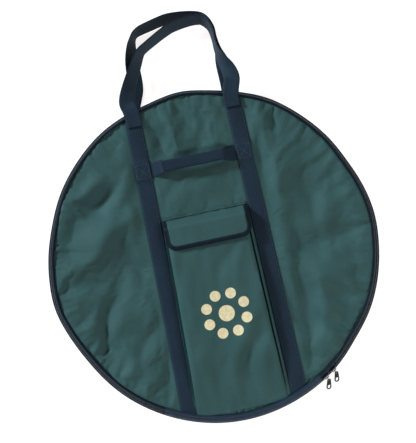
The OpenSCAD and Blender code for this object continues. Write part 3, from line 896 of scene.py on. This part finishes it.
def sweep(section, stations):
    """Stations are (origin, across, up). The section's points are (across, up) from the origin."""
    bm = bmesh.new()
    lay = lay_layer(bm)
    origin, across, up = stations[0]
    ring = []
    for index, (a, t) in enumerate(section):
        vert = bm.verts.new(origin + across * a + up * t)
        vert[lay] = (0, a, index)
        ring.append(vert)
    edges = [bm.edges.new((ring[i], ring[(i + 1) % len(ring)])) for i in range(len(ring))]
    first = edges
    travelled = 0.0
    for before, (origin, across, up) in zip(stations, stations[1:]):
        travelled += (origin - before[0]).length
        grown = bmesh.ops.extrude_edge_only(bm, edges=edges)["geom"]
        edges = [item for item in grown if isinstance(item, bmesh.types.BMEdge)]
        verts = [item for item in grown if isinstance(item, bmesh.types.BMVert)]
        edges = [e for e in edges if all(v in verts for v in e.verts)]
        for vert in verts:
            a, t = section[round(vert[lay].z)]
            vert.co = origin + across * a + up * t
            vert[lay] = (travelled, a, vert[lay].z)
    bmesh.ops.holes_fill(bm, edges=first + edges, sides=0)
    return bm


X_AXIS, Y_AXIS, Z_AXIS = Vector((1, 0, 0)), Vector((0, 1, 0)), Vector((0, 0, 1))


def steps_between(low, high, step):
    count = max(1, round(abs(high - low) / step))
    return [low + (high - low) * i / count for i in range(count + 1)]


def drop(bm, surface):
    for vert in bm.verts:
        vert.co.z += surface(vert.co.x, vert.co.y)


def stop_at_rim(bm, limit):
    for vert in bm.verts:
        if math.hypot(vert.co.x, vert.co.y) > limit and abs(vert.co.x) < limit:
            vert.co.y = math.copysign(math.sqrt(limit ** 2 - vert.co.x ** 2), vert.co.y)


# %% Front straps
LAYER = WEB_THICK + mm(0.05)


def strap_lift(y):
    return LAYER * ease((y - GRIP_Y + mm(19)) / mm(3)) * ease((GRIP_Y + mm(19) - y) / mm(3))


def strap_bed(x, y):
    return skin(x, y) + strap_lift(y) + mm(0.05)


def front_strap(side):
    rows = steps_between(-mm(288), mm(288), mm(4.5))
    stations = [(Vector((side * strap_x(y), y, 0)), X_AXIS, Z_AXIS) for y in rows]
    bm = sweep(web_section(WEB_WIDTH, WEB_THICK), stations)
    stop_at_rim(bm, SEAM_R - mm(1.6))
    drop(bm, strap_bed)
    return piece("front_strap_" + ("right" if side > 0 else "left") + "_web", bm, WEBBING)


join_bends(front_strap(-1), "webbing", "front_strap_left")
join_bends(front_strap(1), "webbing", "front_strap_right", "foot_straps")

# %% [markdown]
# Under the bag the same straps are sewn into channels in the back, so that the carried weight hangs
# from webbing and not from cloth.

# %% Back straps


def back_strap(side):
    low, high = STRAP_LOW_Y, STRAP_TOP_Y
    stations = [(Vector((side * strap_x(y), y, 0)), X_AXIS, Z_AXIS)
                for y in steps_between(low, high, mm(8))]
    bm = sweep(web_section(WEB_WIDTH, WEB_THICK), stations)
    return piece("back_strap_" + ("right" if side > 0 else "left") + "_web", bm, WEBBING)


join_rides(back_strap(-1), "back_half", "webbing", "back_strap_left")
join_rides(back_strap(1), "back_half", "webbing", "back_strap_right")

# %% [markdown]
# The pocket is a sheet with its sides pleated, so that it can swell. Seen from above the pleats are
# two or three lines along each side, deeper on the right, where a fold stands open. The sheet starts
# as a flat grid whose columns are set closer together in the pleats.

# %% Pocket
POCKET_FULL = corner("pocket_panel", 1, "z") - dome(0) - mm(1)
POCKET_BASE_Y = -mm(290)
TAPER_Y = -mm(185)


def pocket_rise(y):
    if y > TAPER_Y:
        return POCKET_FULL
    return mm(0.3) + (POCKET_FULL - mm(0.3)) * max(0.0, (y - POCKET_BASE_Y) / (TAPER_Y - POCKET_BASE_Y))


POCKET_FOLDS = (
    (5, -45, 48, 8, 11, -2.2), (26, -50, 62, 4, 10, 2.4), (-5, -200, 70, -120, 13, 2.4),
    (28, -205, 78, -150, 10, -2.0), (50, -262, 64, -195, 10, 3.0), (22, -262, 34, -190, 10, -3.0),
    (-8, -275, 6, -205, 10, 3.0), (-34, -270, -20, -200, 10, -2.4), (-60, -262, -50, -170, 11, 2.0),
    (-72, -120, -60, 10, 7, 1.2))


def pocket_top(x, y):
    full = dome(math.hypot(x, y)) + pocket_rise(y)
    slack = mm(3.0) * leaning_noise(x, y, math.radians(66), 0.030, 0.13, 40.0)
    slack += mm(1.8) * leaning_noise(x, y, math.radians(80), 0.018, 0.07, 46.0)
    slack += 0.8 * laid_folds(x, y, POCKET_FOLDS)
    end = mm(1.4) * noise.noise(Vector((x / mm(11), 4.2, 1.1))) * ease((-mm(235) - y) / mm(30))
    return full + slack * ease((y + mm(290)) / mm(60)) * (1 - 0.7 * ease((y - mm(10)) / mm(30))) + end


LEFT_PLEAT = ((-6.5, 0.02), (-5.8, 0.42), (-4.2, 0.30), (-3.6, 0.62), (-2.2, 0.52), (-1.4, 0.88),
              (0.6, 1.0))
RIGHT_PLEAT = ((-1.2, 1.0), (0.2, 0.86), (0.7, 0.30), (1.8, 0.10), (2.6, 0.42), (4.0, 0.60), (6.2, 0.50),
               (7.6, 0.05))


def pocket_edge(side, y):
    share = (POCKET_TOP - y) / (POCKET_TOP - POCKET_BASE_Y)
    wave = mm(0.8) * noise.noise(Vector((side * 3.0, y / mm(45), 2.0)))
    return wave + (mm(73) + mm(6.5) * share if side > 0 else -mm(75) - mm(12) * share)


def pocket_columns():
    inner = 26
    columns = [(-1, mm(dx), share) for dx, share in LEFT_PLEAT]
    columns += [(0, (i + 1) / inner, 1.0) for i in range(inner - 1)]
    return columns + [(1, mm(dx), share) for dx, share in RIGHT_PLEAT]


def make_pocket():
    columns = pocket_columns()
    rows = 96
    bm = bmesh.new()
    lay = lay_layer(bm)
    bmesh.ops.create_grid(bm, x_segments=len(columns) - 1, y_segments=rows, size=0.5)
    for vert in bm.verts:
        side, offset, share = columns[round((vert.co.x + 0.5) * (len(columns) - 1))]
        t = vert.co.y + 0.5
        y = POCKET_TOP - t * (POCKET_TOP - POCKET_BASE_Y)
        left, right = pocket_edge(-1, y) + mm(2), pocket_edge(1, y) - mm(2)
        x = left + (right - left) * offset if side == 0 else pocket_edge(side, y) + offset
        reach = math.sqrt(max((SEAM_R - mm(1.5)) ** 2 - x * x, 0))
        y = max(y, -reach)
        low = skin(x, y) + mm(0.4)
        vert.co = (x, y, low + max(pocket_top(x, y) - low, mm(0.2)) * share)
        vert[lay] = (x, y, 0)
    bmesh.ops.remove_doubles(bm, verts=bm.verts, dist=1e-6)
    obj = piece("pocket", bm, GREEN)
    if obj.data.polygons[len(obj.data.polygons) // 2].normal.z < 0:
        obj.data.flip_normals()
    thicken(obj, mm(0.8))
    return obj


pocket = make_pocket()
join_bends(pocket, "green_cloth", "pocket_panel", "foot_pocket", "pocket_side_left", "pocket_side_right",
           "pocket_hem")

# %% [markdown]
# The flap lies over the pocket's mouth and is held by hook and loop tape. Its free edge is bound with
# folded tape that goes round both lower corners. The binding is a section swept along the flap's
# outline, and the section holds the cloth's edge between its two sides.

# %% Flap
FLAP_HALF = corner("flap_binding", 1, "x")
FLAP_LOW = corner("flap_binding", 0, "y")
FLAP_HIGH = corner("flap_seam", 0, "y") - mm(4.5)
FLAP_CORNER = mm(19)


def flap_under(x, y):
    lift = mm(3.6) - mm(1.0) * ease((abs(x) - mm(46)) / mm(20))
    sag = mm(1.3) * leaning_noise(x, y, 0.25, 0.09, 0.03, 61.0) * ease((abs(x) - mm(30)) / mm(20))
    over = pocket_top(x, y) + lift + sag - mm(3.2) * ease((abs(x) - mm(68)) / mm(14)) ** 2
    t = ease((y - mm(62)) / (FLAP_HIGH - mm(62)))
    return over * (1 - t) + (skin(x, y) + mm(0.7)) * t


def flap_half_width(y, inset):
    half = FLAP_HALF - inset
    down = FLAP_LOW + FLAP_CORNER - y
    if down > 0:
        radius = FLAP_CORNER - inset
        half -= radius - math.sqrt(max(radius ** 2 - down ** 2, 0))
    return half


def flap_cloth():
    rows, columns, inset = 34, 60, mm(2.6)
    bm = bmesh.new()
    lay = lay_layer(bm)
    bmesh.ops.create_grid(bm, x_segments=columns, y_segments=rows, size=0.5)
    for vert in bm.verts:
        t = (vert.co.y + 0.5) ** 1.7
        y = FLAP_LOW + inset + (FLAP_HIGH - FLAP_LOW - inset) * t
        x = 2 * vert.co.x * flap_half_width(y, inset)
        vert.co = (x, y, flap_under(x, y) + mm(1))
        vert[lay] = (x, y, 0)
    obj = piece("flap_cloth", bm, GREEN)
    if obj.data.polygons[0].normal.z < 0:
        obj.data.flip_normals()
    thicken(obj, mm(1))
    return obj


flap = flap_cloth()
join_rides(flap, "flap", "green_cloth", "flap_panel")


def flap_outline(step):
    left, right = -FLAP_HALF + FLAP_CORNER, FLAP_HALF - FLAP_CORNER
    turn_y = FLAP_LOW + FLAP_CORNER
    path = [(-FLAP_HALF, y, 1, 0) for y in steps_between(FLAP_HIGH - mm(0.5), turn_y, step)]
    for index in range(1, 12):
        a = math.pi / 2 * index / 12
        c, d = math.cos(a), math.sin(a)
        path.append((left - FLAP_CORNER * c, turn_y - FLAP_CORNER * d, c, d))
    path += [(x, FLAP_LOW, 0, 1) for x in steps_between(left, right, step)]
    for index in range(1, 12):
        a = math.pi / 2 * index / 12
        c, d = math.cos(a), math.sin(a)
        path.append((right + FLAP_CORNER * d, turn_y - FLAP_CORNER * c, -d, c))
    return path + [(FLAP_HALF, y, -1, 0) for y in steps_between(turn_y, FLAP_HIGH - mm(0.5), step)]


def flap_edge():
    section = [(mm(a), mm(t)) for a, t in (
        (-1.0, 0.4), (-0.7, 1.2), (0.2, 1.7), (2.5, 1.75), (5.0, 1.75), (6.9, 1.6), (7.3, 1.1),
        (7.3, -0.1), (6.9, -0.6), (5.0, -0.7), (2.5, -0.7), (0.2, -0.65), (-0.7, -0.3))]
    stations = [(Vector((x, y, 0)), Vector((nx, ny, 0)), Z_AXIS) for x, y, nx, ny in flap_outline(mm(3))]
    bm = sweep(section, stations)
    drop(bm, flap_under)
    return piece("flap_edge", bm, BINDING)


join_rides(flap_edge(), "flap", "binding", "flap_binding")

# %% [markdown]
# Hook and loop tape holds the flap shut. Each half is a strip of knitted tape with a pile, a little over
# a millimetre thick, sewn on with its fellow facing it.

# %% Hook and loop tape
HOOK_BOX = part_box("hook_tape")


def tape_half(name, bed):
    columns = steps_between(HOOK_BOX[0].x, HOOK_BOX[1].x, mm(3))
    deep = (HOOK_BOX[1].y - HOOK_BOX[0].y)
    middle = (HOOK_BOX[1].y + HOOK_BOX[0].y) / 2
    bm = sweep(web_section(deep, mm(1.1), 6), [(Vector((x, middle, 0)), Y_AXIS, Z_AXIS) for x in columns])
    drop(bm, bed)
    return piece(name, bm, HOOKS)


def hook_bed(x, y):
    return flap_under(x, y) - mm(1.15)


def loop_bed(x, y):
    return pocket_top(x, y) + mm(0.1)


join_rides(tape_half("hook_half", hook_bed), "flap", "fastener", "hook_tape")
join_rides(tape_half("loop_half", loop_bed), "front_half", "fastener", "loop_tape")

# %% [markdown]
# The flap's sewn edge is folded twice, which leaves a raised double roll along the top.

# %% Flap seam


def flap_roll():
    section = [(mm(a), mm(t)) for a, t in (
        (-2.6, 0.1), (-2.7, 1.9), (-1.5, 3.6), (0.0, 3.7), (1.1, 2.7), (1.5, 1.0), (2.2, 2.3), (3.2, 2.5),
        (4.2, 1.8), (4.8, 0.7), (4.9, 0.05), (1.5, 0.05))]
    half = FLAP_HALF - mm(2)
    stations = []
    for x in steps_between(-half, half, mm(2.2)):
        wobble = mm(0.7) * noise.noise(Vector((x / mm(14), 9.0, 0.3)))
        tuck = mm(1.3) * math.exp(-((x - mm(4)) / mm(5)) ** 2)
        place = Vector((x, FLAP_HIGH + mm(1.3) + wobble + tuck, 0))
        swell = 1 + 0.25 * noise.noise(Vector((x / mm(9), 2.0, 5.0)))
        stations.append((place, Y_AXIS, Z_AXIS * swell))
    bm = sweep(section, stations)
    drop(bm, skin)
    return piece("flap_roll", bm, GREEN)


join_rides(flap_roll(), "front_half", "green_cloth", "flap_seam")

# %% [markdown]
# The emblem is foil pressed on to the pocket: a ring of eight round fields about a middle one, like
# the tone fields of the drum that the bag is made for. It is a thin skin that follows the cloth.

# %% Foil emblem
EMBLEM = (mm(2), -mm(111))
EMBLEM_RING = mm(38)


def foil_emblem():
    bm = bmesh.new()
    discs = [(*EMBLEM, mm(15))]
    for index in range(8):
        a = math.radians(45 * index + 22.5)
        discs.append((EMBLEM[0] + EMBLEM_RING * math.cos(a), EMBLEM[1] + EMBLEM_RING * math.sin(a), mm(10)))
    for x, y, radius in discs:
        made = bmesh.ops.create_circle(bm, cap_ends=False, segments=40, radius=radius)
        bmesh.ops.translate(bm, verts=made["verts"], vec=(x, y, 0))
        face = bmesh.ops.contextual_create(bm, geom=made["verts"])["faces"]
        for _ in range(6):
            bmesh.ops.inset_region(bm, faces=face, thickness=radius * 0.15, depth=0)
    bmesh.ops.triangulate(bm, faces=[f for f in bm.faces if len(f.verts) > 4])
    plan_uv(bm)
    for vert in bm.verts:
        vert.co.z = pocket_top(vert.co.x, vert.co.y) + mm(0.6)
    obj = piece("emblem", bm, FOIL)
    if obj.data.polygons[0].normal.z < 0:
        obj.data.flip_normals()
    thicken(obj, mm(0.3))
    return obj


join_rides(foil_emblem(), "front_half", "gold_foil", "foil_emblem")

# %% [markdown]
# The small grip between the straps is a piece of webbing with its middle folded in half. Its wide ends
# go under the straps, and where they leave the panel they are blended up to the folded middle.

# %% Grip
GRIP_END_X = corner("grip_bar", 1, "x")
GRIP_LOW_Z = corner("grip_bar", 0, "z")
GRIP_SHIFT = mm(2)


def grip_tab(side):
    outer = strap_x(GRIP_Y) + mm(12)
    stations = []
    for x in steps_between(outer, GRIP_END_X - mm(2), mm(2)):
        rise = ease((mm(77) - x) / (mm(77) - GRIP_END_X))
        base = skin(side * x, GRIP_Y) + mm(0.03)
        height = base * (1 - rise) + (GRIP_LOW_Z + mm(1.6)) * rise
        place = Vector((side * x, GRIP_Y + GRIP_SHIFT * rise, height))
        narrow = 1 - 0.10 * rise - 0.22 * ease((GRIP_END_X + mm(3) - x) / mm(5))
        stations.append((place, Y_AXIS * narrow, Z_AXIS))
    name = "grip_end_" + ("right" if side > 0 else "left")
    obj = piece(name, sweep(web_section(mm(29), WEB_THICK), stations), WEBBING)
    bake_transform(obj)
    return obj


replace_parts(grip_tab(-1), "grip_tabs")
grip_tab(1)


def grip_fold():
    section = [(mm(a), mm(t)) for a, t in (
        (-10.2, 2.6), (-10.4, 3.3), (-10.0, 4.0), (-5, 4.2), (0, 4.3), (5, 4.2), (8.4, 3.9), (9.9, 2.9),
        (10.3, 2.0),
        (9.9, 1.1), (8.4, 0.1), (4, -0.2), (-4, -0.2), (-10.0, 0.0), (-10.4, 0.7), (-10.2, 1.4), (-4, 1.6),
        (4, 1.7), (7.6, 2.0), (4, 2.3), (-4, 2.4))]
    stations = []
    for x in steps_between(-GRIP_END_X, GRIP_END_X, mm(3)):
        waver = mm(0.8) * noise.noise(Vector((x / mm(40), 1.0, 7.0)))
        place = Vector((x, GRIP_Y + GRIP_SHIFT + waver, GRIP_LOW_Z))
        stations.append((place, Y_AXIS, Z_AXIS))
    return piece("grip_fold", sweep(section, stations), WEBBING)


join_rides(grip_fold(), "grip", "webbing", "grip_bar")

# %% [markdown]
# The carry loops are the same webbing, free of the bag from its edge on, so they twist and lean where
# they like. Each is given by a few points and a roll at each point, which tips the webbing on edge, and
# a smooth curve is drawn through them.

# %% Carry loops


def through(points, per_span):
    out = []
    last = len(points) - 1
    for i in range(last):
        a, b, c, d = (points[min(max(k, 0), last)] for k in (i - 1, i, i + 1, i + 2))
        for step in range(per_span):
            t = step / per_span
            out.append(tuple(0.5 * (2 * b[k] + (c[k] - a[k]) * t
                                    + (2 * a[k] - 5 * b[k] + 4 * c[k] - d[k]) * t * t
                                    + (3 * b[k] - a[k] - 3 * c[k] + d[k]) * t ** 3) for k in range(4)))
    return out + [points[-1]]


def loop_stations(points, per_span=6):
    line = through(points, per_span)
    places = [Vector((mm(x), BAG_R + mm(y), mm(z))) for x, y, z, _ in line]
    stations = []
    for i, place in enumerate(places):
        along = (places[min(i + 1, len(places) - 1)] - places[max(i - 1, 0)]).normalized()
        side = Vector((-along.y, along.x, 0)).normalized()
        up = along.cross(side)
        roll = math.radians(line[i][3])
        across = side * math.cos(roll) + up * math.sin(roll)
        stations.append((place, across, along.cross(across)))
    return stations


def carry_loop(name, points, material):
    section = web_section(WEB_WIDTH, WEB_THICK, 8, -WEB_THICK / 2)
    bm = sweep(section, loop_stations(points))
    return piece(name, bm, material, sway=False)


FRONT_LOOP = (
    (-93.5, -44, 40.1, 0), (-93.2, -34, 39.4, 0), (-93, -26.8, 38.9, 0), (-95, -12, 38, 0),
    (-98, 5, 33, 10), (-88, 32, 21.5, 29), (-72, 62, 17, 41), (-60, 83.5, 18, 52),
    (-53, 92, 18.8, 56), (-43, 98, 19.4, 57), (-28, 106, 20, 56), (-8, 116, 21, 54),
    (13, 124.5, 21.5, 50), (44, 129, 21.5, 50), (63, 128, 21.5, 52), (72, 123, 21.5, 58),
    (81.5, 107, 20, 72), (83.5, 86.5, 19, 80), (85, 69, 19.6, 74), (90.5, 48.5, 22.2, 54),
    (99, 26, 27.6, 22), (102, 8, 32.5, 4), (96, -12, 38, 0), (93, -26.8, 38.9, 0),
    (93.2, -34, 39.4, 0), (93.5, -44, 40.1, 0))
front_loop = carry_loop("front_carry_loop", FRONT_LOOP, WEBBING)
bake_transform(front_loop)
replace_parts(front_loop, "front_loop", "loop_ends")

BACK_LOOP = (
    (-94, -19.8, 0.85, 0), (-91.5, -8, 0.85, 0), (-85, 8, 1.1, 0), (-78.5, 25, 3, 6),
    (-75.5, 48.5, 7.4, 21), (-74, 79.5, 11.4, 38), (-69, 105, 13.2, 56), (-63.5, 118.5, 13.8, 68),
    (-57, 126, 13.8, 64), (-46, 131, 13.2, 56), (-27, 135.5, 12.6, 53), (-8, 139.5, 12.6, 52),
    (10, 141.5, 12.6, 50), (40, 139, 12.6, 50), (64, 134, 13, 54), (76, 126, 14, 62),
    (85, 109, 15.4, 72), (87.5, 87.5, 15.6, 79), (89, 68, 14.8, 70), (91.5, 44.5, 9.8, 34),
    (93.5, 23.5, 4, 8), (94, 6, 1.1, 0), (94, -8, 0.85, 0), (94, -19.8, 0.85, 0))
join_rides(carry_loop("back_carry_loop", BACK_LOOP, WEBBING), "back_loop", "webbing", "back_loop")

# %% [markdown]
# The side band holds the zip: a tape on each side and the chain between. The tapes are strips spun
# round the bag, in the band's own slope. The chain is a nylon coil, and from outside each turn of it
# looks like a short rib, so one rib is made and spun with copies, at the pitch of a real coil.

# %% Zip tapes


def turn_of(node, end):
    """The angle at which a node that goes round the bag's open side begins (0) or ends (1)."""
    angles = []
    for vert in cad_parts[node].data.vertices:
        a = math.degrees(math.atan2(vert.co.y, vert.co.x))
        angles.append(a if a > -90 else a + 360)
    return math.radians(max(angles) if end else min(angles))


ZIP_START, ZIP_END = turn_of("zip_coil_back", 0), turn_of("zip_coil_back", 1)
LID_START, LID_END = turn_of("zip_coil_front", 0), turn_of("zip_coil_front", 1)
print(f"zip from {math.degrees(ZIP_START):.1f} to {math.degrees(ZIP_END):.1f} degrees")


def tape_section(low, high, swell=0.5, thick=0.4):
    across = [low + (high - low) * i / 4 for i in range(5)]
    outer = [band(mm(s), mm(thick + swell * math.sin(math.pi * i / 4))) for i, s in enumerate(across)]
    inner = [band(mm(s), -mm(thick)) for s in reversed(across)]
    return [(p.x, p.y) for p in outer + inner]


def tape(name, low, high, start, end, swell=0.5):
    bm, _ = spin_profile(tape_section(low, high, swell), start, end, mm(4), closed=True)
    return piece(name, bm, TAPE)


join_rides(tape("zip_tape_lower", 1.8, 8.4, ZIP_START, ZIP_END), "back_half", "zip_tape", "zip_tape_back")
join_rides(tape("zip_tape_upper", 15.6, 29.2, LID_START, LID_END, 1.2),
           "front_half", "zip_tape", "zip_tape_front")
STUB_PAUSE = math.radians(0.3)
stub_one = tape("zip_stub_start", 15.6, 28.4, ZIP_START, LID_START - STUB_PAUSE, 0.9)
stub_two = tape("zip_stub_end", 15.6, 28.4, LID_END + STUB_PAUSE, ZIP_END, 0.9)
join_rides(stub_one, "back_half", "zip_tape", "zip_end_stubs")
join_rides(stub_two, "back_half", "zip_tape")

# %% Zip chain
TOOTH_PITCH = mm(2.1)


def chain(name, low, high, start, end):
    bm = bmesh.new()
    lay_layer(bm)
    middle = band(mm((low + high) / 2), mm(0.9))
    slope = Matrix.Rotation(-math.atan2(BAND_OUT.y, BAND_OUT.x), 4, "Y")
    shape = Matrix.Diagonal((mm(1.25), TOOTH_PITCH * 0.42, mm((high - low) / 2), 1))
    made = bmesh.ops.create_uvsphere(bm, u_segments=8, v_segments=5, radius=1, matrix=slope @ shape)
    bmesh.ops.translate(bm, verts=made["verts"], vec=(middle.x, 0, middle.y))
    bmesh.ops.rotate(bm, verts=bm.verts, cent=(0, 0, 0), matrix=Matrix.Rotation(start + 0.003, 3, "Z"))
    count = int((end - start - 0.006) * middle.x / TOOTH_PITCH)
    bmesh.ops.spin(bm, geom=bm.verts[:] + bm.edges[:] + bm.faces[:], cent=(0, 0, 0), axis=(0, 0, 1),
                   dvec=(0, 0, 0), angle=end - start - 0.006, steps=count, use_merge=False,
                   use_duplicate=True)
    return piece(name, bm, NYLON)


join_rides(chain("zip_chain_lower", 8.5, 11.5, ZIP_START, ZIP_END),
           "back_half", "zip_coil", "zip_coil_back")
join_rides(chain("zip_chain_upper", 12.5, 15.5, LID_START, LID_END),
           "front_half", "zip_coil", "zip_coil_front")
join_rides(chain("zip_chain_start", 12.5, 15.5, ZIP_START, LID_START - STUB_PAUSE), "back_half", "zip_coil")
join_rides(chain("zip_chain_end", 12.5, 15.5, LID_END + STUB_PAUSE, ZIP_END), "back_half", "zip_coil")

# %% [markdown]
# At the bottom the band is one piece of heavy tape without a zip. It is the bag's hinge. It is puffed
# by the foam behind it and drawn up over the front piping, and at each end its edge is folded under and
# sewn over the zip.

# %% Hinge gusset
GUSSET_START = math.radians(-119.3)
GUSSET_END = math.radians(-60.7)


def gusset():
    across = [1.6 + 25.6 * i / 10 for i in range(11)]
    outer = [band(mm(s), mm(0.5 + 3.4 * math.sin(math.pi * i / 11))) for i, s in enumerate(across)]
    inner = [band(mm(s), -mm(0.3)) for s in reversed(across)]
    rim = Vector((SEAM_R + mm(0.2), SEAM_Z - mm(0.3)))
    turns = [math.radians(10 + 22 * i) for i in range(6)]
    over = [rim + Vector((math.cos(turn) * mm(3.0), math.sin(turn) * mm(2.7))) for turn in turns]
    under = [rim + Vector((math.cos(turn) * mm(2.3), math.sin(turn) * mm(2.0))) for turn in reversed(turns)]
    rows = outer + over + under + inner
    bm, _ = spin_profile([(p.x, p.y) for p in rows], GUSSET_START, GUSSET_END, mm(3.5), closed=True)
    for vert in bm.verts:
        angle = math.atan2(vert.co.y, vert.co.x)
        s = (vert.co.z - BAND_LOW.y) / BAND_UP.y
        inside = math.sin(math.pi * min(max(s / BAND_LEN, 0), 1))
        wrinkle = mm(1.0) * noise.noise(Vector((angle * 30, s / mm(30), 3.0))) * inside
        lip = mm(1.1) * math.exp(-((angle - GUSSET_START) / 0.02) ** 2) * inside
        vert.co.x += math.cos(angle) * (wrinkle + lip)
        vert.co.y += math.sin(angle) * (wrinkle + lip)
    return piece("gusset", bm, GUSSET)


join_rides(gusset(), "back_half", "zip_tape", "hinge_gusset", "gusset_foam")

# %% [markdown]
# Stitches are small and many, so each is a short thread lump of a few faces, laid end to end along a
# line. The straps have a row near each edge and a box with a cross where the grip is sewn through.

# %% Stitches


def stitch_into(bm, place, direction, length=mm(2.7), thick=mm(0.42)):
    turn = direction.to_track_quat("X", "Z").to_matrix().to_4x4()
    shape = Matrix.Diagonal((length / 2, thick, thick * 0.8, 1))
    bmesh.ops.create_uvsphere(bm, u_segments=6, v_segments=4, radius=1,
                              matrix=Matrix.Translation(place) @ turn @ shape)


def gather(bm, part):
    """Moves a part's mesh into bm. Short lines made apart are far quicker than one long mesh."""
    mesh = bpy.data.meshes.new("part")
    part.to_mesh(mesh)
    part.free()
    bm.from_mesh(mesh)
    bpy.data.meshes.remove(mesh)


def stitch_line(bm, start, end, surface, pitch=mm(3.9)):
    start, end = Vector((*start, 0)), Vector((*end, 0))
    count = max(1, int((end - start).length / pitch))
    for first in range(0, count, 24):
        part = bmesh.new()
        for index in range(first, min(first + 24, count)):
            place = start.lerp(end, (index + 0.5) / count)
            ahead = start.lerp(end, (index + 0.9) / count)
            place.z = surface(place.x, place.y)
            ahead.z = surface(ahead.x, ahead.y)
            stitch_into(part, place, (ahead - place).normalized())
        gather(bm, part)


def strap_face(x, y):
    return strap_bed(x, y) + WEB_THICK + mm(0.05)


def strap_stitches(side):
    bm = bmesh.new()
    for edge in (-1, 1):
        off = edge * (WEB_WIDTH / 2 - mm(2.2))
        low = (side * strap_x(-mm(272)) + off, -mm(272))
        high = (side * strap_x(mm(256)) + off, mm(256))
        stitch_line(bm, low, high, strap_face)
    centre = side * strap_x(GRIP_Y)
    left, right, low, high = centre - mm(11), centre + mm(11), GRIP_Y - mm(13), GRIP_Y + mm(13)
    corners = ((left, low), (right, low), (right, high), (left, high))
    for a, b in zip(corners, corners[1:] + corners[:1]):
        stitch_line(bm, a, b, strap_face)
    stitch_line(bm, corners[0], corners[2], strap_face)
    stitch_line(bm, corners[1], corners[3], strap_face)
    return piece("strap_stitches_" + ("right" if side > 0 else "left"), bm, THREAD)


join_bends(strap_stitches(-1), "webbing")
join_bends(strap_stitches(1), "webbing")


def flap_stitches():
    bm = bmesh.new()
    path = flap_outline(mm(3.9))
    for (x, y, nx, ny), (x2, y2, nx2, ny2) in zip(path, path[1:]):
        here = Vector((x + nx * mm(5.8), y + ny * mm(5.8), 0))
        there = Vector((x2 + nx2 * mm(5.8), y2 + ny2 * mm(5.8), 0))
        if (there - here).length < mm(1.5):
            continue
        middle = here.lerp(there, 0.5)
        middle.z = flap_under(middle.x, middle.y) + mm(1.78)
        stitch_into(bm, middle, (there - here).normalized(), (there - here).length * 0.7, mm(0.3))
    return piece("flap_stitches", bm, THREAD)


join_rides(flap_stitches(), "flap", "binding")

# %% [markdown]
# The sliders and pulls are cast metal with a black coat. The CAD solids give their shape, and what is
# missing is the softness of a casting: each sharp edge is bevelled. On the pulls the coat has worn off
# those edges, so the bevel's faces are bare metal. The wire links are shown as the CAD model has them.

# %% Sliders, bails, links and pulls


def broaden(bm):
    """The eye end of a pull is nearly as wide as its tip, so it is drawn out sideways.

    A slider lies on the rim, and its pull hangs outwards. So the tip is the end further from the middle
    of the bag.
    """
    centre = sum((vert.co for vert in bm.verts), Vector()) / len(bm.verts)
    tip = max((vert.co for vert in bm.verts), key=lambda co: (co - centre).length)
    eye = max((vert.co for vert in bm.verts), key=lambda co: (co - tip).length)
    if tip.xy.length < eye.xy.length:
        tip, eye = eye, tip
    along = (tip - eye).normalized()
    side = Vector((-along.y, along.x, 0)).normalized()
    reach = (tip - eye).length
    for vert in bm.verts:
        share = 1 - (vert.co - eye).dot(along) / reach
        vert.co += side * (vert.co - centre).dot(side) * 0.55 * share


def cast_part(name, node, body, width, edge):
    bm = bmesh.new()
    bm.from_mesh(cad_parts[node].data)
    if node.endswith("_pull"):
        broaden(bm)
    bmesh.ops.remove_doubles(bm, verts=bm.verts, dist=1e-6)
    bmesh.ops.dissolve_limit(bm, angle_limit=math.radians(2), verts=bm.verts, edges=bm.edges)
    sharp = [e for e in bm.edges if len(e.link_faces) == 2 and e.calc_face_angle() > math.radians(35)]
    made = bmesh.ops.bevel(bm, geom=sharp, offset=width, offset_type="OFFSET", segments=2, profile=0.5,
                           affect="EDGES", material=-1, clamp_overlap=True)
    for face in made["faces"]:
        face.material_index = 1
    lay_layer(bm)
    obj = piece(name, bm, (COATED, edge), smooth=False, sway=False)
    return join_rides(obj, body, "slider_metal", node)


for letter in "ab":
    cast_part(f"zip_slider_{letter}", f"slider_{letter}_body", f"slider_{letter}", mm(0.35), COATED)
    cast_part(f"zip_bail_{letter}", f"slider_{letter}_bail", f"slider_{letter}", mm(0.25), COATED)
    cast_part(f"zip_pull_{letter}", f"slider_{letter}_pull", f"pull_{letter}", mm(0.2), STEEL)

FINISHES = {f"slider_{letter}_link": COATED for letter in "ab"}
for node, finish in FINISHES.items():
    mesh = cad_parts[node].data
    mesh.materials.clear()
    mesh.materials.append(finish)
print("CAD nodes kept:", ", ".join(FINISHES))
